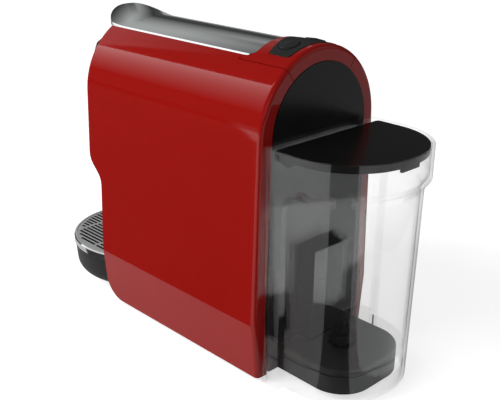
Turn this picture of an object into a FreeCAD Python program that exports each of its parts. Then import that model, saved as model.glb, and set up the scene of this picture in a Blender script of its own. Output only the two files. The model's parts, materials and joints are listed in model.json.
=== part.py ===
"""Capsule espresso machine: an arched two-panel shell, a clear lift-off water tank behind it,
a long lever on top and a round drip tray in front.

X is across the machine, the tank is towards +Y, the drip tray towards -Y, and Z = 0 is the table.
"""
import FreeCAD, Part
import math
import os
import re

import Sketcher
from FreeCAD import Placement, Rotation, Vector

# Driving dimensions, in millimetres.
SIZES = {
    # Shell
    "foot_height": 5.5,
    "hem_height": 4,
    "hem_half": 57,
    "crease_half": 61,
    "crease_height": 47,
    "crease_round": 14,
    "arch_radius": 57.5,
    "arch_height": 177.2,
    "body_length": 193,
    "head_overhang": 15,
    "notch_height": 115.5,
    "notch_slope": 14,
    "notch_round": 14,
    "heel_round": 18,
    "shell_wall": 2.5,
    "rim_round": 3.4,
    "ring_width": 10.8,
    "ring_depth": 3.5,
    "seam": 0.4,
    "fit": 0.3,
    # Rear plate
    "plate_proud": 0.4,
    "plate_flange": 2.2,
    "rib_half": 15,
    "rib_depth": 12.1,
    "rib_height": 98,
    "rib_slope": 5,
    "rib_gap": 1,
    "standoff_radius": 3.5,
    "standoff_length": 8,
    # Lever
    "lever_half": 30.5,
    "lever_setback": 36,
    "lever_wall": 3,
    "lever_crown": 2.3,
    "lever_reach": 20,
    "lever_corner": 8,
    "lever_nose_round": 26,
    "lip_length": 36,
    "lip_bend": 120,
    "trim_width": 2,
    "trim_bevel": 1.3,
    "hinge_tail": 24,
    "hinge_drop": 18.7,
    "hinge_pin_radius": 3,
    "running_fit": 0.05,
    "lever_frame_half": 24,
    "lever_arm": 4,
    "lever_arm_depth": 10,
    "lever_web": 3,
    "ear_radius": 8,
    "crank_back": 14.6,
    "crank_drop": 19.05,
    "crank_pin_radius": 3,
    "crank_pin_reach": 4.2,
    "crank_play": 0.7,
    # Rear top cover, button pad and buttons
    "cover_half": 34.5,
    "cover_length": 44.5,
    "pad_half": 26,
    "pad_front": 33.5,
    "pad_shoulder": 25,
    "pad_rear": 6.5,
    "pad_corner": 3,
    "pad_sink": 1.2,
    "pad_proud": 0.4,
    "button_radius": 7.2,
    "button_gap": 0.4,
    "button_angle": 13,
    "button_setback": 19,
    "button_proud": 1.2,
    "button_dome": 0.6,
    "button_head": 4.5,
    "button_stem_radius": 2.5,
    "button_stem": 4,
    "button_travel": 1.2,
    "post_radius": 2,
    "board_wall": 1.6,
    "board_half": 34,
    "board_gap": 11,
    "board_rise": 18.8,
    "board_margin": 8,
    "transformer_width": 26,
    "transformer_height": 30,
    "transformer_depth": 18,
    "relay_width": 20,
    "relay_height": 16,
    "capacitor_radius": 8,
    "switch_half": 3,
    "switch_height": 3.5,
    # Chassis, inner frame and front
    "chassis_half": 54.1,
    "chassis_wall": 3.5,
    "chassis_setback": 14,
    "frame_half": 50.5,
    "frame_wall": 3,
    "deck_height": 98,
    "deck_wall": 3,
    "boss_radius": 3.4,
    "boss_inset": 2.5,
    "boss_height": 14,
    "screw_radius": 1.75,
    "screw_head_radius": 3.4,
    "screw_head": 2,
    "foot_radius": 7,
    "foot_edge": 1.2,
    "gland_radius": 7,
    "gland_bore": 3.6,
    "gland_lip": 2,
    "front_wall": 2.5,
    "front_sink": 1.5,
    "nose_reach": 19,
    "nose_half": 20,
    "nose_round": 16,
    "nose_side_round": 8,
    "nose_side_gap": 2,
    "nose_wall": 2.2,
    "brow_top": 12,
    "brow_drop": 25,
    "spout_radius": 8,
    "spout_bore": 5.5,
    "spout_drop": 15,
    "spout_flange": 2,
    "spout_lip": 1.5,
    "spout_ahead": 6,
    # Drip tray and capsule bin
    "tray_radius": 62,
    "tray_ahead": 23.6,
    "tray_height": 41,
    "tray_bottom": 9.8,
    "tray_bottom_radius": 59,
    "tray_round": 11,
    "tray_wall": 2.5,
    "tray_ring_height": 6,
    "grid_wall": 1.6,
    "grid_edge": 1.6,
    "ring_wall": 1.6,
    "tray_lip": 1.5,
    "ring_round": 0.8,
    "grid_pitch": 4.05,
    "grid_slot": 2.2,
    "grid_slot_length": 35.6,
    "grid_bridge": 2.4,
    "bin_half": 43.5,
    "bin_length": 70,
    "bin_height": 92,
    "bin_wall": 2,
    "bin_round": 3,
    "tongue_wall": 2.5,
    # Brew unit
    "cheek_inner": 31,
    "cheek_wall": 2.5,
    "cheek_drop": 10,
    "brew_drop": 38,
    "chute_wall": 2.5,
    "chute_rim": 2,
    "chamber_radius": 23,
    "chamber_bore": 17,
    "chamber_depth": 25,
    "chamber_length": 28,
    "chamber_setback": 53,
    "head_length": 13.5,
    "rail_height": 20,
    "injector_length": 8,
    "stub_radius": 4,
    "stub_length": 9,
    "hose_radius": 5,
    "hose_bore": 2.5,
    "hose_bend": 8,
    "nozzle_length": 20,
    "nozzle_drop": 10,
    "groove_depth": 1.5,
    "groove_width": 3,
    "groove_margin": 1,
    "rail_end": 4,
    "trough_half": 12,
    "trough_clearance": 8.5,
    # Heater, pump and flow meter
    "heater_half": 26,
    "heater_length": 36,
    "heater_clearance": 18,
    "heater_post": 5,
    "heater_round": 6,
    "heater_groove": 5,
    "thermostat_radius": 8,
    "thermostat_wall": 4,
    "pump_x": 20,
    "pump_setback": 76,
    "pump_radius": 10,
    "pump_length": 50,
    "pump_bottom": 34,
    "pump_stub": 7,
    "coil_half": 22,
    "coil_height": 40,
    "mount_half": 4,
    "meter_x": 28,
    "meter_radius": 13,
    "meter_height": 22,
    "meter_wall": 2.5,
    "meter_stub": 6,
    "rotor_radius": 8,
    "axle_radius": 1.5,
    # Tank, lid, valve and dock
    "tank_reach": 79.6,
    "tank_half": 55.8,
    "tank_gap": 1.4,
    "tank_height": 176,
    "tank_wall": 2,
    "tank_bottom": 3,
    "tank_corner": 50,
    "tank_end_round": 71,
    "tank_end_bow": 12.8,
    "tank_front_round": 4,
    "band_lip": 0.3,
    "shoulder_drop": 23.5,
    "shoulder_fall": 6,
    "shoulder_step": 4.5,
    "tank_taper": 2.5,
    "column_depth": 16.6,
    "column_round": 20,
    "lid_gap": 0.8,
    "lid_sink": 0.8,
    "lid_wall": 3,
    "lid_skirt": 5,
    "lid_front": 6.6,
    "lid_pin_radius": 1.6,
    "lid_pin_drop": 3.9,
    "lid_pin_setback": 3,
    "lid_ear": 13,
    "lid_ear_drop": 5.6,
    "lid_ear_round": 4,
    "lid_tab_half": 9,
    "lid_tab": 3,
    "dock_gap": 10.3,
    "dock_end_gap": 8.2,
    "dock_corner": 25,
    "dock_neck": 14,
    "dock_height": 24.5,
    "dock_edge": 1.5,
    "dock_groove": 1,
    "dock_groove_width": 2,
    "dock_groove_drop": 4,
    "dock_plug": 4,
    "dock_plug_sink": 0.6,
    "seal_depth": 4,
    "valve_setback": 29,
    "valve_radius": 9,
    "valve_height": 11,
    "valve_bore": 6,
    "valve_stem": 2,
    "valve_chamber": 3.6,
    "valve_wall": 1.5,
}

doc = FreeCAD.newDocument("EspressoMachine")
sheet = doc.addObject("Spreadsheet::Sheet", "Dims")
for row, (alias, value) in enumerate(SIZES.items(), 1):
    sheet.set(f"A{row}", alias.replace("_", " "))
    sheet.set(f"B{row}", str(value))
    sheet.setAlias(f"B{row}", alias)
doc.recompute()

WORDS = re.compile(r"\b(" + "|".join(SIZES) + r")\b")

# Main places, as expressions of the driving dimensions.
REAR = "((tray_ahead + tray_radius + body_length - head_overhang - tank_reach) / 2)"
HEAD = f"({REAR} - body_length)"
FRONT = f"({HEAD} + head_overhang)"
TRAY = f"({FRONT} - tray_ahead)"
TOP = "(arch_height + arch_radius)"
LEVER_SAG = "(arch_radius - sqrt(arch_radius^2 - lever_half^2) - lever_crown)"
LEVER_RADIUS = f"((lever_half^2 + {LEVER_SAG}^2) / (2 * {LEVER_SAG}))"
LEVER_TOP = f"({TOP} - lever_crown)"
LEVER_CENTRE = f"({LEVER_TOP} - {LEVER_RADIUS})"
BEVEL_START = "(lever_half - trim_bevel)"
BEVEL_RADIUS = "(1.14 * lever_half)"
BEVEL_LINE = f"({LEVER_CENTRE} + sqrt({LEVER_RADIUS}^2 - {BEVEL_START}^2))"
BEVEL_CENTRE = f"({BEVEL_LINE} - sqrt({BEVEL_RADIUS}^2 - {BEVEL_START}^2))"
LEVER_REAR = f"({REAR} - lever_setback)"
LEVER_TIP = f"({HEAD} - lever_reach)"
HINGE_Y = f"({LEVER_REAR} - hinge_tail)"
HINGE_Z = f"({TOP} - hinge_drop)"
PIN_Y = f"({HINGE_Y} + crank_back)"
CRANK = "sqrt(crank_back^2 + crank_drop^2)"
BREW = f"({HINGE_Z} - brew_drop)"
CHEEK_TOP = f"({HINGE_Z} - cheek_drop)"
NOZZLE_Z = f"({BREW} - chamber_radius + 2 * stub_radius)"
HEATER_TOP = f"({BREW} - heater_clearance)"
COVER_FRONT = f"({REAR} - cover_length)"
CHASSIS_TOP = "(foot_height + chassis_wall)"
DECK_TOP = "(deck_height + deck_wall)"
NOSE = f"({HEAD} - nose_reach)"
NOSE_FLOOR = "(notch_height - notch_slope / 3)"
SPOUT_Y = f"({HEAD} - spout_ahead)"
CHAMBER_FRONT = f"({HEAD} + chamber_setback)"
CHAMBER_REAR = f"({CHAMBER_FRONT} + chamber_length)"
RAIL_TOP = f"({HINGE_Z} - crank_drop + crank_pin_radius + crank_play + rail_end)"
RAIL_BOTTOM = f"({RAIL_TOP} - rail_height)"
RAIL_INNER = "(lever_frame_half + 1)"
PUMP_Y = f"({REAR} - pump_setback)"
TANK_FRONT = f"({REAR} + tank_gap)"
TANK_REAR = f"({REAR} + tank_reach)"
TANK_FLOOR = "(dock_height + fit + tank_wall)"
SHOULDER_TOP = "(tank_height - shoulder_drop)"
SHOULDER_BOTTOM = f"({SHOULDER_TOP} - shoulder_fall)"
DOCK_HALF = "(tank_half - shoulder_step - tank_taper - tank_wall - dock_gap)"
DOCK_REAR = f"({TANK_REAR} - shoulder_step - tank_taper - tank_wall - dock_end_gap)"
VALVE_Y = f"({REAR} + valve_setback)"
RIB_FACE = f"({REAR} + plate_proud + rib_depth)"
LID_TOP = "(tank_height - lid_sink)"
LID_PIN_Z = f"({LID_TOP} - lid_pin_drop)"
LID_FRONT = f"({REAR} + tank_gap + lid_front)"
LID_PIN_Y = f"({LID_FRONT} + lid_pin_setback)"
BEYOND = 20


def cells(text):
    """Expression text with each size's name turned into its cell."""
    return WORDS.sub(r"Dims.\1", str(text))


def number(text):
    """Value of an expression of the sizes."""
    return float(sheet.evalExpression(cells(text)))


def negative(text):
    return f"(-1 * ({text}))"


def mirrored(corners):
    """Right half of an outline, bottom to top, joined with its mirror image."""
    left = [(negative(corner[0]), *corner[1:]) for corner in reversed(corners) if corner[0] != "0"]
    return corners + left


def rectangle(x_low, x_high, y_low, y_high):
    return [(x_low, y_low), (x_high, y_low), (x_high, y_high), (x_low, y_high)]


def new_body(label):
    body = doc.addObject("PartDesign::Body", "Body")
    body.Label = label
    return body


def sketch_on(body, plane, level):
    """Empty sketch on one of the body's origin planes, moved along its world axis to level."""
    sketch = body.newObject("Sketcher::SketchObject", "Sketch")
    origin = next(item for item in body.Origin.OriginFeatures if item.Role == plane + "_Plane")
    sketch.AttachmentSupport = [(origin, "")]
    sketch.MapMode = "FlatFace"
    sketch.setExpression("AttachmentOffset.Base.z", cells(negative(level) if plane == "XZ" else level))
    return sketch


def constrain(sketch, rules):
    """Adds (constraint, expression or None) pairs and binds the ones that have an expression."""
    first = len(sketch.Constraints)
    sketch.addConstraint([Sketcher.Constraint(*rule) for rule, _ in rules])
    for index, (_, text) in enumerate(rules, first):
        if text is not None:
            sketch.setExpression(f"Constraints[{index}]", cells(text))


def spot(geometry, end, x, y):
    """Rules that hold one point of a sketch at (x, y)."""
    return [
        (("DistanceX", -1, 1, geometry, end, number(x)), x),
        (("DistanceY", -1, 1, geometry, end, number(y)), y),
    ]


def draw(sketch, corners):
    """Closed outline through corners (x, y), each rounded where it has a radius as a third item."""
    count = len(corners)
    points = [Vector(number(corner[0]), number(corner[1]), 0) for corner in corners]
    stops = []
    for index, corner in enumerate(corners):
        before = (points[index - 1] - points[index]).normalize()
        after = (points[(index + 1) % count] - points[index]).normalize()
        half = before.getAngle(after) / 2
        radius = number(corner[2]) if len(corner) > 2 else 0
        reach = radius / math.tan(half)
        middle = points[index] + (before + after).normalize() * (radius / math.sin(half) - radius)
        turns_left = before.cross(after).z < 0
        stops.append((points[index] + before * reach, middle, points[index] + after * reach, turns_left))
    first = sketch.GeometryCount
    for index in range(count):
        following = (index + 1) % count
        straight = stops[following][0] - stops[index][2]
        if straight.dot(points[following] - points[index]) <= 0:
            raise ValueError(f"roundings do not fit between {corners[index]} and {corners[following]}")
        sketch.addGeometry(Part.LineSegment(stops[index][2], stops[following][0]), False)
    rules = []
    for index, corner in enumerate(corners):
        line_in = first + (index - 1) % count
        line_out = first + index
        if len(corner) == 2:
            rules.append((("Coincident", line_in, 2, line_out, 1), None))
            rules += spot(line_out, 1, corner[0], corner[1])
            continue
        start, middle, end, turns_left = stops[index]
        ends = (start, middle, end) if turns_left else (end, middle, start)
        arc = sketch.addGeometry(Part.Arc(*ends), False)
        tip = sketch.addGeometry(Part.Point(points[index]), True)
        near, far = (1, 2) if turns_left else (2, 1)
        rules.append((("Tangent", line_in, 2, arc, near), None))
        rules.append((("Tangent", arc, far, line_out, 1), None))
        rules.append((("PointOnObject", tip, 1, line_in), None))
        rules.append((("PointOnObject", tip, 1, line_out), None))
        rules.append((("Radius", arc, number(corner[2])), corner[2]))
        rules += spot(tip, 1, corner[0], corner[1])
    constrain(sketch, rules)


def draw_circle(sketch, x, y, radius):
    circle = Part.Circle(Vector(number(x), number(y), 0), Vector(0, 0, 1), number(radius))
    index = sketch.addGeometry(circle, False)
    constrain(sketch, spot(index, 3, x, y) + [(("Radius", index, number(radius)), radius)])


def draw_arch(sketch, inset, floor):
    """Section of the shell, drawn in by inset: two leaning sides that run into the round top."""
    radius = f"(arch_radius - ({inset}))"
    crease = f"(crease_half - ({inset}))"
    hem = f"(hem_half - ({inset}))"
    centre = Vector(0, number("arch_height"), 0)

    def flip(point):
        return Vector(-point.x, point.y, 0)

    low = Vector(number(crease), number("crease_height"), 0)
    offset = low - centre
    lean = math.atan2(offset.y, offset.x) + math.acos(number(radius) / offset.Length)
    touch = centre + Vector(math.cos(lean), math.sin(lean), 0) * number(radius)
    base = Vector(number(hem), number(floor), 0)
    crown = Vector(0, number("arch_height") + number(radius), 0)
    for start, end in ((flip(base), base), (base, low), (low, touch)):
        sketch.addGeometry(Part.LineSegment(start, end), False)
    sketch.addGeometry(Part.Arc(touch, crown, flip(touch)), False)
    for start, end in ((flip(touch), flip(low)), (flip(low), flip(base))):
        sketch.addGeometry(Part.LineSegment(start, end), False)
    rules = [
        (("Coincident", 0, 2, 1, 1), None),
        (("Coincident", 1, 2, 2, 1), None),
        (("Tangent", 2, 2, 3, 1), None),
        (("Tangent", 3, 2, 4, 1), None),
        (("Coincident", 4, 2, 5, 1), None),
        (("Coincident", 5, 2, 0, 1), None),
        (("PointOnObject", 3, 3, -2), None),
        (("DistanceY", -1, 1, 3, 3, number("arch_height")), "arch_height"),
        (("Radius", 3, number(radius)), radius),
    ]
    rules += spot(1, 1, hem, floor) + spot(2, 1, crease, "crease_height")
    rules += spot(0, 1, negative(hem), floor) + spot(5, 1, negative(crease), "crease_height")
    constrain(sketch, rules)


def draw_sector(sketch, outer, inner, half, centre="arch_height"):
    """Strip between two radii about a centre, cut off at half to each side."""
    height = number(centre)

    def arc(radius):
        size = number(radius)
        lift = math.sqrt(size ** 2 - number(half) ** 2)
        right = Vector(number(half), height + lift, 0)
        left = Vector(-number(half), height + lift, 0)
        return right, Vector(0, height + size, 0), left

    top = arc(outer)
    under = arc(inner)
    sketch.addGeometry(Part.Arc(*top), False)
    sketch.addGeometry(Part.Arc(*under), False)
    sketch.addGeometry(Part.LineSegment(under[0], top[0]), False)
    sketch.addGeometry(Part.LineSegment(top[2], under[2]), False)
    rules = [
        (("Coincident", 0, 1, 2, 2), None),
        (("Coincident", 0, 2, 3, 1), None),
        (("Coincident", 1, 1, 2, 1), None),
        (("Coincident", 1, 2, 3, 2), None),
        (("PointOnObject", 0, 3, -2), None),
        (("DistanceY", -1, 1, 0, 3, height), centre),
        (("Coincident", 1, 3, 0, 3), None),
        (("Radius", 0, number(outer)), outer),
        (("Radius", 1, number(inner)), inner),
    ]
    for geometry, end, side in ((0, 1, half), (0, 2, negative(half)), (1, 1, half), (1, 2, negative(half))):
        rules.append((("DistanceX", -1, 1, geometry, end, number(side)), side))
    constrain(sketch, rules)


def extrude(body, kind, plane, low, high, drawing, *values):
    """Pad or Pocket between two levels along the plane's world axis, of what drawing() draws."""
    adds = kind == "Pad"
    starts_low = adds != (plane == "XZ")
    sketch = sketch_on(body, plane, low if starts_low else high)
    drawing(sketch, *values)
    feature = body.newObject("PartDesign::" + kind, kind)
    feature.Profile = sketch
    feature.setExpression("Length", cells(f"({high}) - ({low})"))
    return feature


def pad(body, plane, low, high, corners):
    return extrude(body, "Pad", plane, low, high, draw, corners)


def pocket(body, plane, low, high, corners):
    return extrude(body, "Pocket", plane, low, high, draw, corners)


def round_pad(body, plane, low, high, x, y, radius):
    return extrude(body, "Pad", plane, low, high, draw_circle, x, y, radius)


def drill(body, plane, low, high, x, y, radius):
    return extrude(body, "Pocket", plane, low, high, draw_circle, x, y, radius)


def turn(body, corners, axis="V_Axis"):
    """Solid turned about the upright axis (or the level one) of a sketch on the XZ plane."""
    sketch = sketch_on(body, "XZ", "0")
    draw(sketch, corners)
    feature = body.newObject("PartDesign::Revolution", "Turn")
    feature.Profile = sketch
    feature.ReferenceAxis = (sketch, [axis])
    feature.Angle = 360
    return feature


def loft(body, levels):
    """Ruled loft through (z, outline) sections."""
    sketches = []
    for level, corners in levels:
        sketch = sketch_on(body, "XY", level)
        draw(sketch, corners)
        sketches.append(sketch)
    feature = body.newObject("PartDesign::AdditiveLoft", "Loft")
    feature.Profile = sketches[0]
    feature.Sections = sketches[1:]
    feature.Ruled = True
    return feature


def round_edges(body, radius, chosen):
    """Rounds the edges of the body for which chosen(edge) is true."""
    doc.recompute()
    base = body.Tip
    names = [f"Edge{index}" for index, edge in enumerate(base.Shape.Edges, 1) if chosen(edge)]
    feature = body.newObject("PartDesign::Fillet", "Round")
    feature.Base = (base, names)
    feature.setExpression("Radius", cells(radius))
    return feature


def place(item, x, y, z, axis=Vector(0, 0, 1), angle=0):
    """Puts an object at (x, y, z), turned about an axis through that point."""
    item.Placement = Placement(Vector(), Rotation(axis, angle))
    for name, text in zip("xyz", (x, y, z)):
        item.setExpression(f"Placement.Base.{name}", cells(text))
    return item


def cut(label, base, *tools):
    for tool in tools:
        result = doc.addObject("Part::Cut", "Cut")
        result.Base = base
        result.Tool = tool
        base = result
    base.Label = label
    return base


def join(label, *items):
    base = items[0]
    for item in items[1:]:
        result = doc.addObject("Part::Fuse", "Fuse")
        result.Base = base
        result.Tool = item
        base = result
    base.Label = label
    return base


def overlap(label, base, tool):
    result = doc.addObject("Part::Common", "Common")
    result.Base = base
    result.Tool = tool
    result.Label = label
    return result


def block(label, x_low, x_high, y_low, y_high, z_low, z_high):
    body = new_body(label)
    pad(body, "XY", z_low, z_high, rectangle(x_low, x_high, y_low, y_high))
    return body


def group(label, *items):
    """Separate identical solids kept together in one node."""
    result = doc.addObject("Part::Compound", "Group")
    result.Links = list(items)
    result.Label = label
    return result


def at_height(edge, axis, level):
    """True where both ends of an edge lie at a level along an axis."""
    return all(abs(getattr(vertex.Point, axis) - level) < 0.01 for vertex in edge.Vertexes)


NODES = []


def keep(item):
    NODES.append(item)
    return item


def wedge(half, low, high):
    """Radial wedge about the arch's centre line, half wide at the shell's surface."""
    body = new_body("wedge")
    rise = f"sqrt(arch_radius^2 - ({half})^2)"
    corners = [("0", "arch_height"), (f"1.4 * ({half})", f"arch_height + 1.4 * {rise}")]
    pad(body, "XZ", low, high, mirrored(corners))
    return body


def arch_block(label, low, high, inset, floor):
    body = new_body(label)
    extrude(body, "Pad", "XZ", low, high, draw_arch, inset, floor)
    return body


def make_shell():
    """Whole red shell before it is split into the two side panels and the rear top cover."""
    outer = arch_block("shell_outside", HEAD, REAR, "0", "hem_height")
    crease = number("crease_height")
    round_edges(outer, "crease_round", lambda edge: at_height(edge, "z", crease))
    rear = number(REAR)
    hem = number("hem_height")
    round_edges(outer, "rim_round", lambda edge: at_height(edge, "y", rear) and not at_height(edge, "z", hem))
    below = f"(hem_height - {BEYOND})"
    inside = arch_block("shell_inside", f"{HEAD} - {BEYOND}", f"{REAR} - ring_depth", "shell_wall", below)
    ends = (f"{REAR} - 2 * ring_depth", f"{REAR} + {BEYOND}")
    opening = arch_block("plate_opening", *ends, "ring_width", below)
    outline = new_body("side_outline")
    side = [
        (f"{REAR} + {BEYOND}", "hem_height"),
        (f"{REAR} + {BEYOND}", f"{TOP} + {BEYOND}"),
        (HEAD, f"{TOP} + {BEYOND}"),
        (HEAD, "notch_height + notch_slope / 2", "notch_round"),
        (FRONT, "notch_height - notch_slope / 2", "notch_round"),
        (FRONT, "hem_height", "heel_round"),
    ]
    width = f"(crease_half + {BEYOND})"
    pad(outline, "YZ", negative(width), width, side)
    return overlap("shell", cut("shell_walls", outer, inside, opening), outline)


def make_panels(shell):
    gap = "(lever_half + seam)"
    ends = (f"{LEVER_TIP} - {BEYOND}", f"{COVER_FRONT} + seam / 2")
    lever_gap = block("lever_gap", negative(gap), gap, *ends, "arch_height", f"{TOP} + {BEYOND}")
    cover_gap = wedge("cover_half + seam / 2", f"{COVER_FRONT} - seam / 2", f"{REAR} + {BEYOND}")
    panels = cut("panels", shell, lever_gap, cover_gap)
    width = f"(crease_half + {BEYOND})"
    ends = (f"{HEAD} - {BEYOND}", f"{REAR} + {BEYOND}", "0", f"{TOP} + {BEYOND}")
    right = block("right_half", "0", width, *ends)
    left = block("left_half", negative(width), "0", *ends)
    keep(overlap("right_side_panel", panels, right))
    keep(overlap("left_side_panel", panels, left))


def swing_room():
    """Solid that the tail of the lever sweeps, with a gap, turned about the hinge."""
    body = new_body("swing_room")
    half = "(lever_half + seam)"
    sag = "(arch_radius - sqrt(arch_radius^2 - lever_half^2))"
    edge = f"(sqrt(hinge_tail^2 + (hinge_drop - {sag})^2) + 2 * seam)"
    peak = "(sqrt(hinge_tail^2 + (hinge_drop - lever_crown)^2) + 4 * seam)"
    corners = [(half, "0"), (half, edge, "lever_corner"), ("0", peak, "1.5 * arch_radius")]
    turn(body, mirrored(corners), "H_Axis")
    return place(body, "0", HINGE_Y, HINGE_Z)


def pad_plan(grow):
    """Plan of the button pad: straight rear edge, bowed front edge."""
    half = f"(pad_half + {grow})"
    return mirrored([
        (half, f"{REAR} - pad_rear + {grow}", "pad_corner"),
        (half, f"{REAR} - pad_shoulder - {grow}", "pad_corner"),
        ("0", f"{REAR} - pad_front - {grow}", "pad_half"),
    ][::-1])


def button_places():
    """Name and tilt of the two buttons."""
    return (("short_cup_button", 1), ("long_cup_button", -1))


def tilted(label, side):
    """Body about the arch's centre line, tilted to one button."""
    body = new_body(label)
    angle = side * number("button_angle")
    return place(body, "0", f"{REAR} - button_setback", "arch_height", Vector(0, 1, 0), angle)


def make_top_cover(shell):
    wide = wedge("cover_half - seam / 2", f"{COVER_FRONT} + seam / 2", f"{REAR} + {BEYOND}")
    strip = overlap("cover_strip", shell, wide)
    recess = new_body("pad_recess")
    pad(recess, "XY", "arch_height", f"{TOP} + {BEYOND}", pad_plan("fit"))
    skin = new_body("pad_depth")
    outer = f"(arch_radius + {BEYOND})"
    ends = (f"{REAR} - cover_length", REAR)
    extrude(skin, "Pad", "XZ", *ends, draw_sector, outer, "arch_radius - pad_sink", "pad_half + pad_corner")
    tools = [swing_room(), overlap("pad_seat", recess, skin)]
    for name, side in button_places():
        hole = tilted(name + "_hole", side)
        round_pad(hole, "XY", "arch_radius / 2", "arch_radius * 1.2", "0", "0", "button_radius + button_gap")
        tools.append(hole)
    keep(cut("rear_top_cover", strip, *tools))


def make_button_pad():
    skin = new_body("pad_skin")
    ends = (f"{REAR} - cover_length", REAR)
    outer = "arch_radius + pad_proud"
    inner = "arch_radius - pad_sink + fit / 3"
    extrude(skin, "Pad", "XZ", *ends, draw_sector, outer, inner, "pad_half + pad_corner")
    plan = new_body("pad_plan")
    pad(plan, "XY", "arch_height", f"{TOP} + {BEYOND}", pad_plan("0"))
    tools = []
    for name, side in button_places():
        hole = tilted(name + "_window", side)
        round_pad(hole, "XY", "arch_radius / 2", "arch_radius * 1.2", "0", "0", "button_radius + button_gap")
        tools.append(hole)
    keep(cut("button_pad", overlap("pad_sheet", skin, plan), *tools))


BUTTON_TOP = "(arch_radius + pad_proud + button_proud)"
STEM_BOTTOM = f"({BUTTON_TOP} - button_head - button_stem)"
SWITCH_TOP = f"({STEM_BOTTOM} - button_travel - fit)"


def make_buttons():
    """Round keys with a domed top and a stem that presses its switch."""
    for name, side in button_places():
        button = tilted(name, side)
        profile = [
            ("0", STEM_BOTTOM),
            ("button_stem_radius", STEM_BOTTOM),
            ("button_stem_radius", f"{BUTTON_TOP} - button_head"),
            ("button_radius", f"{BUTTON_TOP} - button_head"),
            ("button_radius", f"{BUTTON_TOP} - button_dome", "1.5 * button_dome"),
            ("0", BUTTON_TOP),
        ]
        turn(button, profile)
        keep(button)
    switches = []
    for name, side in button_places():
        switch = tilted(name + "_switch", side)
        half = "switch_half"
        low = f"{SWITCH_TOP} - switch_height"
        pad(switch, "XY", low, SWITCH_TOP, rectangle(negative(half), half, negative(half), half))
        switches.append(switch)
    keep(group("button_switches", *switches))
    board = new_body("button_board")
    under = f"({SWITCH_TOP} - switch_height)"
    ends = (f"{REAR} - button_setback - button_radius", f"{REAR} - button_setback + button_radius")
    extrude(board, "Pad", "XZ", *ends, draw_sector, under, f"{under} - board_wall", "pad_half - post_radius")
    out = "(pad_half - 2 * post_radius)"
    post_top = "arch_height + sqrt((arch_radius - shell_wall)^2 - (pad_half - 0.75 * post_radius)^2) - fit"
    foot = f"arch_height + sqrt(({under} - board_wall / 2)^2 - {out}^2)"
    for side in (1, -1):
        for end in (1, -1):
            y = f"({REAR} - button_setback + {end} * (button_radius - button_stem_radius))"
            round_pad(board, "XY", foot, post_top, f"{side} * {out}", y, "post_radius")
    keep(board)


def make_rear_plate():
    """Arched plate behind the tank, open below for the dock, with the upright rib that guides the tank."""
    plate = new_body("rear_plate")
    inner = f"({REAR} - ring_depth - fit)"
    bottom = "(dock_height + fit)"
    extrude(plate, "Pad", "XZ", f"{inner} - plate_flange", inner, draw_arch, "shell_wall + fit", bottom)
    extrude(plate, "Pad", "XZ", inner, f"{REAR} + plate_proud", draw_arch, "ring_width + fit", "foot_height")
    half = f"({DOCK_HALF} + fit)"
    pocket(plate, "XZ", inner, f"{REAR} + plate_proud", rectangle(negative(half), half, "foot_height - 1", bottom))
    rib = [(inner, bottom), (RIB_FACE, bottom), (RIB_FACE, "rib_height - rib_slope"), (inner, "rib_height")]
    pad(plate, "YZ", negative("rib_half"), "rib_half", rib)
    ends = (f"{inner} - plate_flange - standoff_length", f"{inner} - plate_flange")
    for x, z in standoff_places():
        round_pad(plate, "XZ", *ends, x, z, "standoff_radius")
    keep(plate)


BOARD_LOW = f"({DECK_TOP} + board_gap)"
BOARD_HIGH = "(arch_height + board_rise)"


def standoff_places():
    margin = "standoff_radius + 1"
    for side in (1, -1):
        for z in (f"{BOARD_LOW} + {margin}", f"{BOARD_HIGH} - ({margin})"):
            yield f"{side} * (board_half - ({margin}))", z


def make_control_board():
    board = new_body("control_board")
    back = f"({REAR} - ring_depth - fit - plate_flange - standoff_length)"
    half = "board_half"
    pad(board, "XZ", f"{back} - board_wall", back, rectangle(negative(half), half, BOARD_LOW, BOARD_HIGH))
    keep(board)
    face = f"({back} - board_wall)"
    low = f"({BOARD_LOW} + board_margin)"
    left = "(board_margin / 4)"
    depth = f"({face} - transformer_depth)"
    ends = (negative(f"{left} + transformer_width"), negative(left))
    transformer = block("transformer", *ends, depth, face, low, f"{low} + transformer_height")
    ends = ("board_margin", "board_margin + relay_width")
    relay = block("relay", *ends, f"{face} - relay_height", face, low, f"{low} + relay_height")
    capacitor = new_body("capacitor")
    middle = "(board_margin + relay_width / 2)"
    height = f"({low} + relay_height + 2.5 * capacitor_radius)"
    round_pad(capacitor, "XZ", depth, face, middle, height, "capacitor_radius")
    keep(group("board_components", transformer, relay, capacitor))


def lever_plan(inset):
    half = f"(lever_half - {inset})"
    return mirrored([
        (half, f"{LEVER_TIP} + {inset}", f"lever_nose_round - {inset}"),
        (half, f"{LEVER_REAR} - {inset}", f"lever_corner - {inset}"),
    ])


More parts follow.
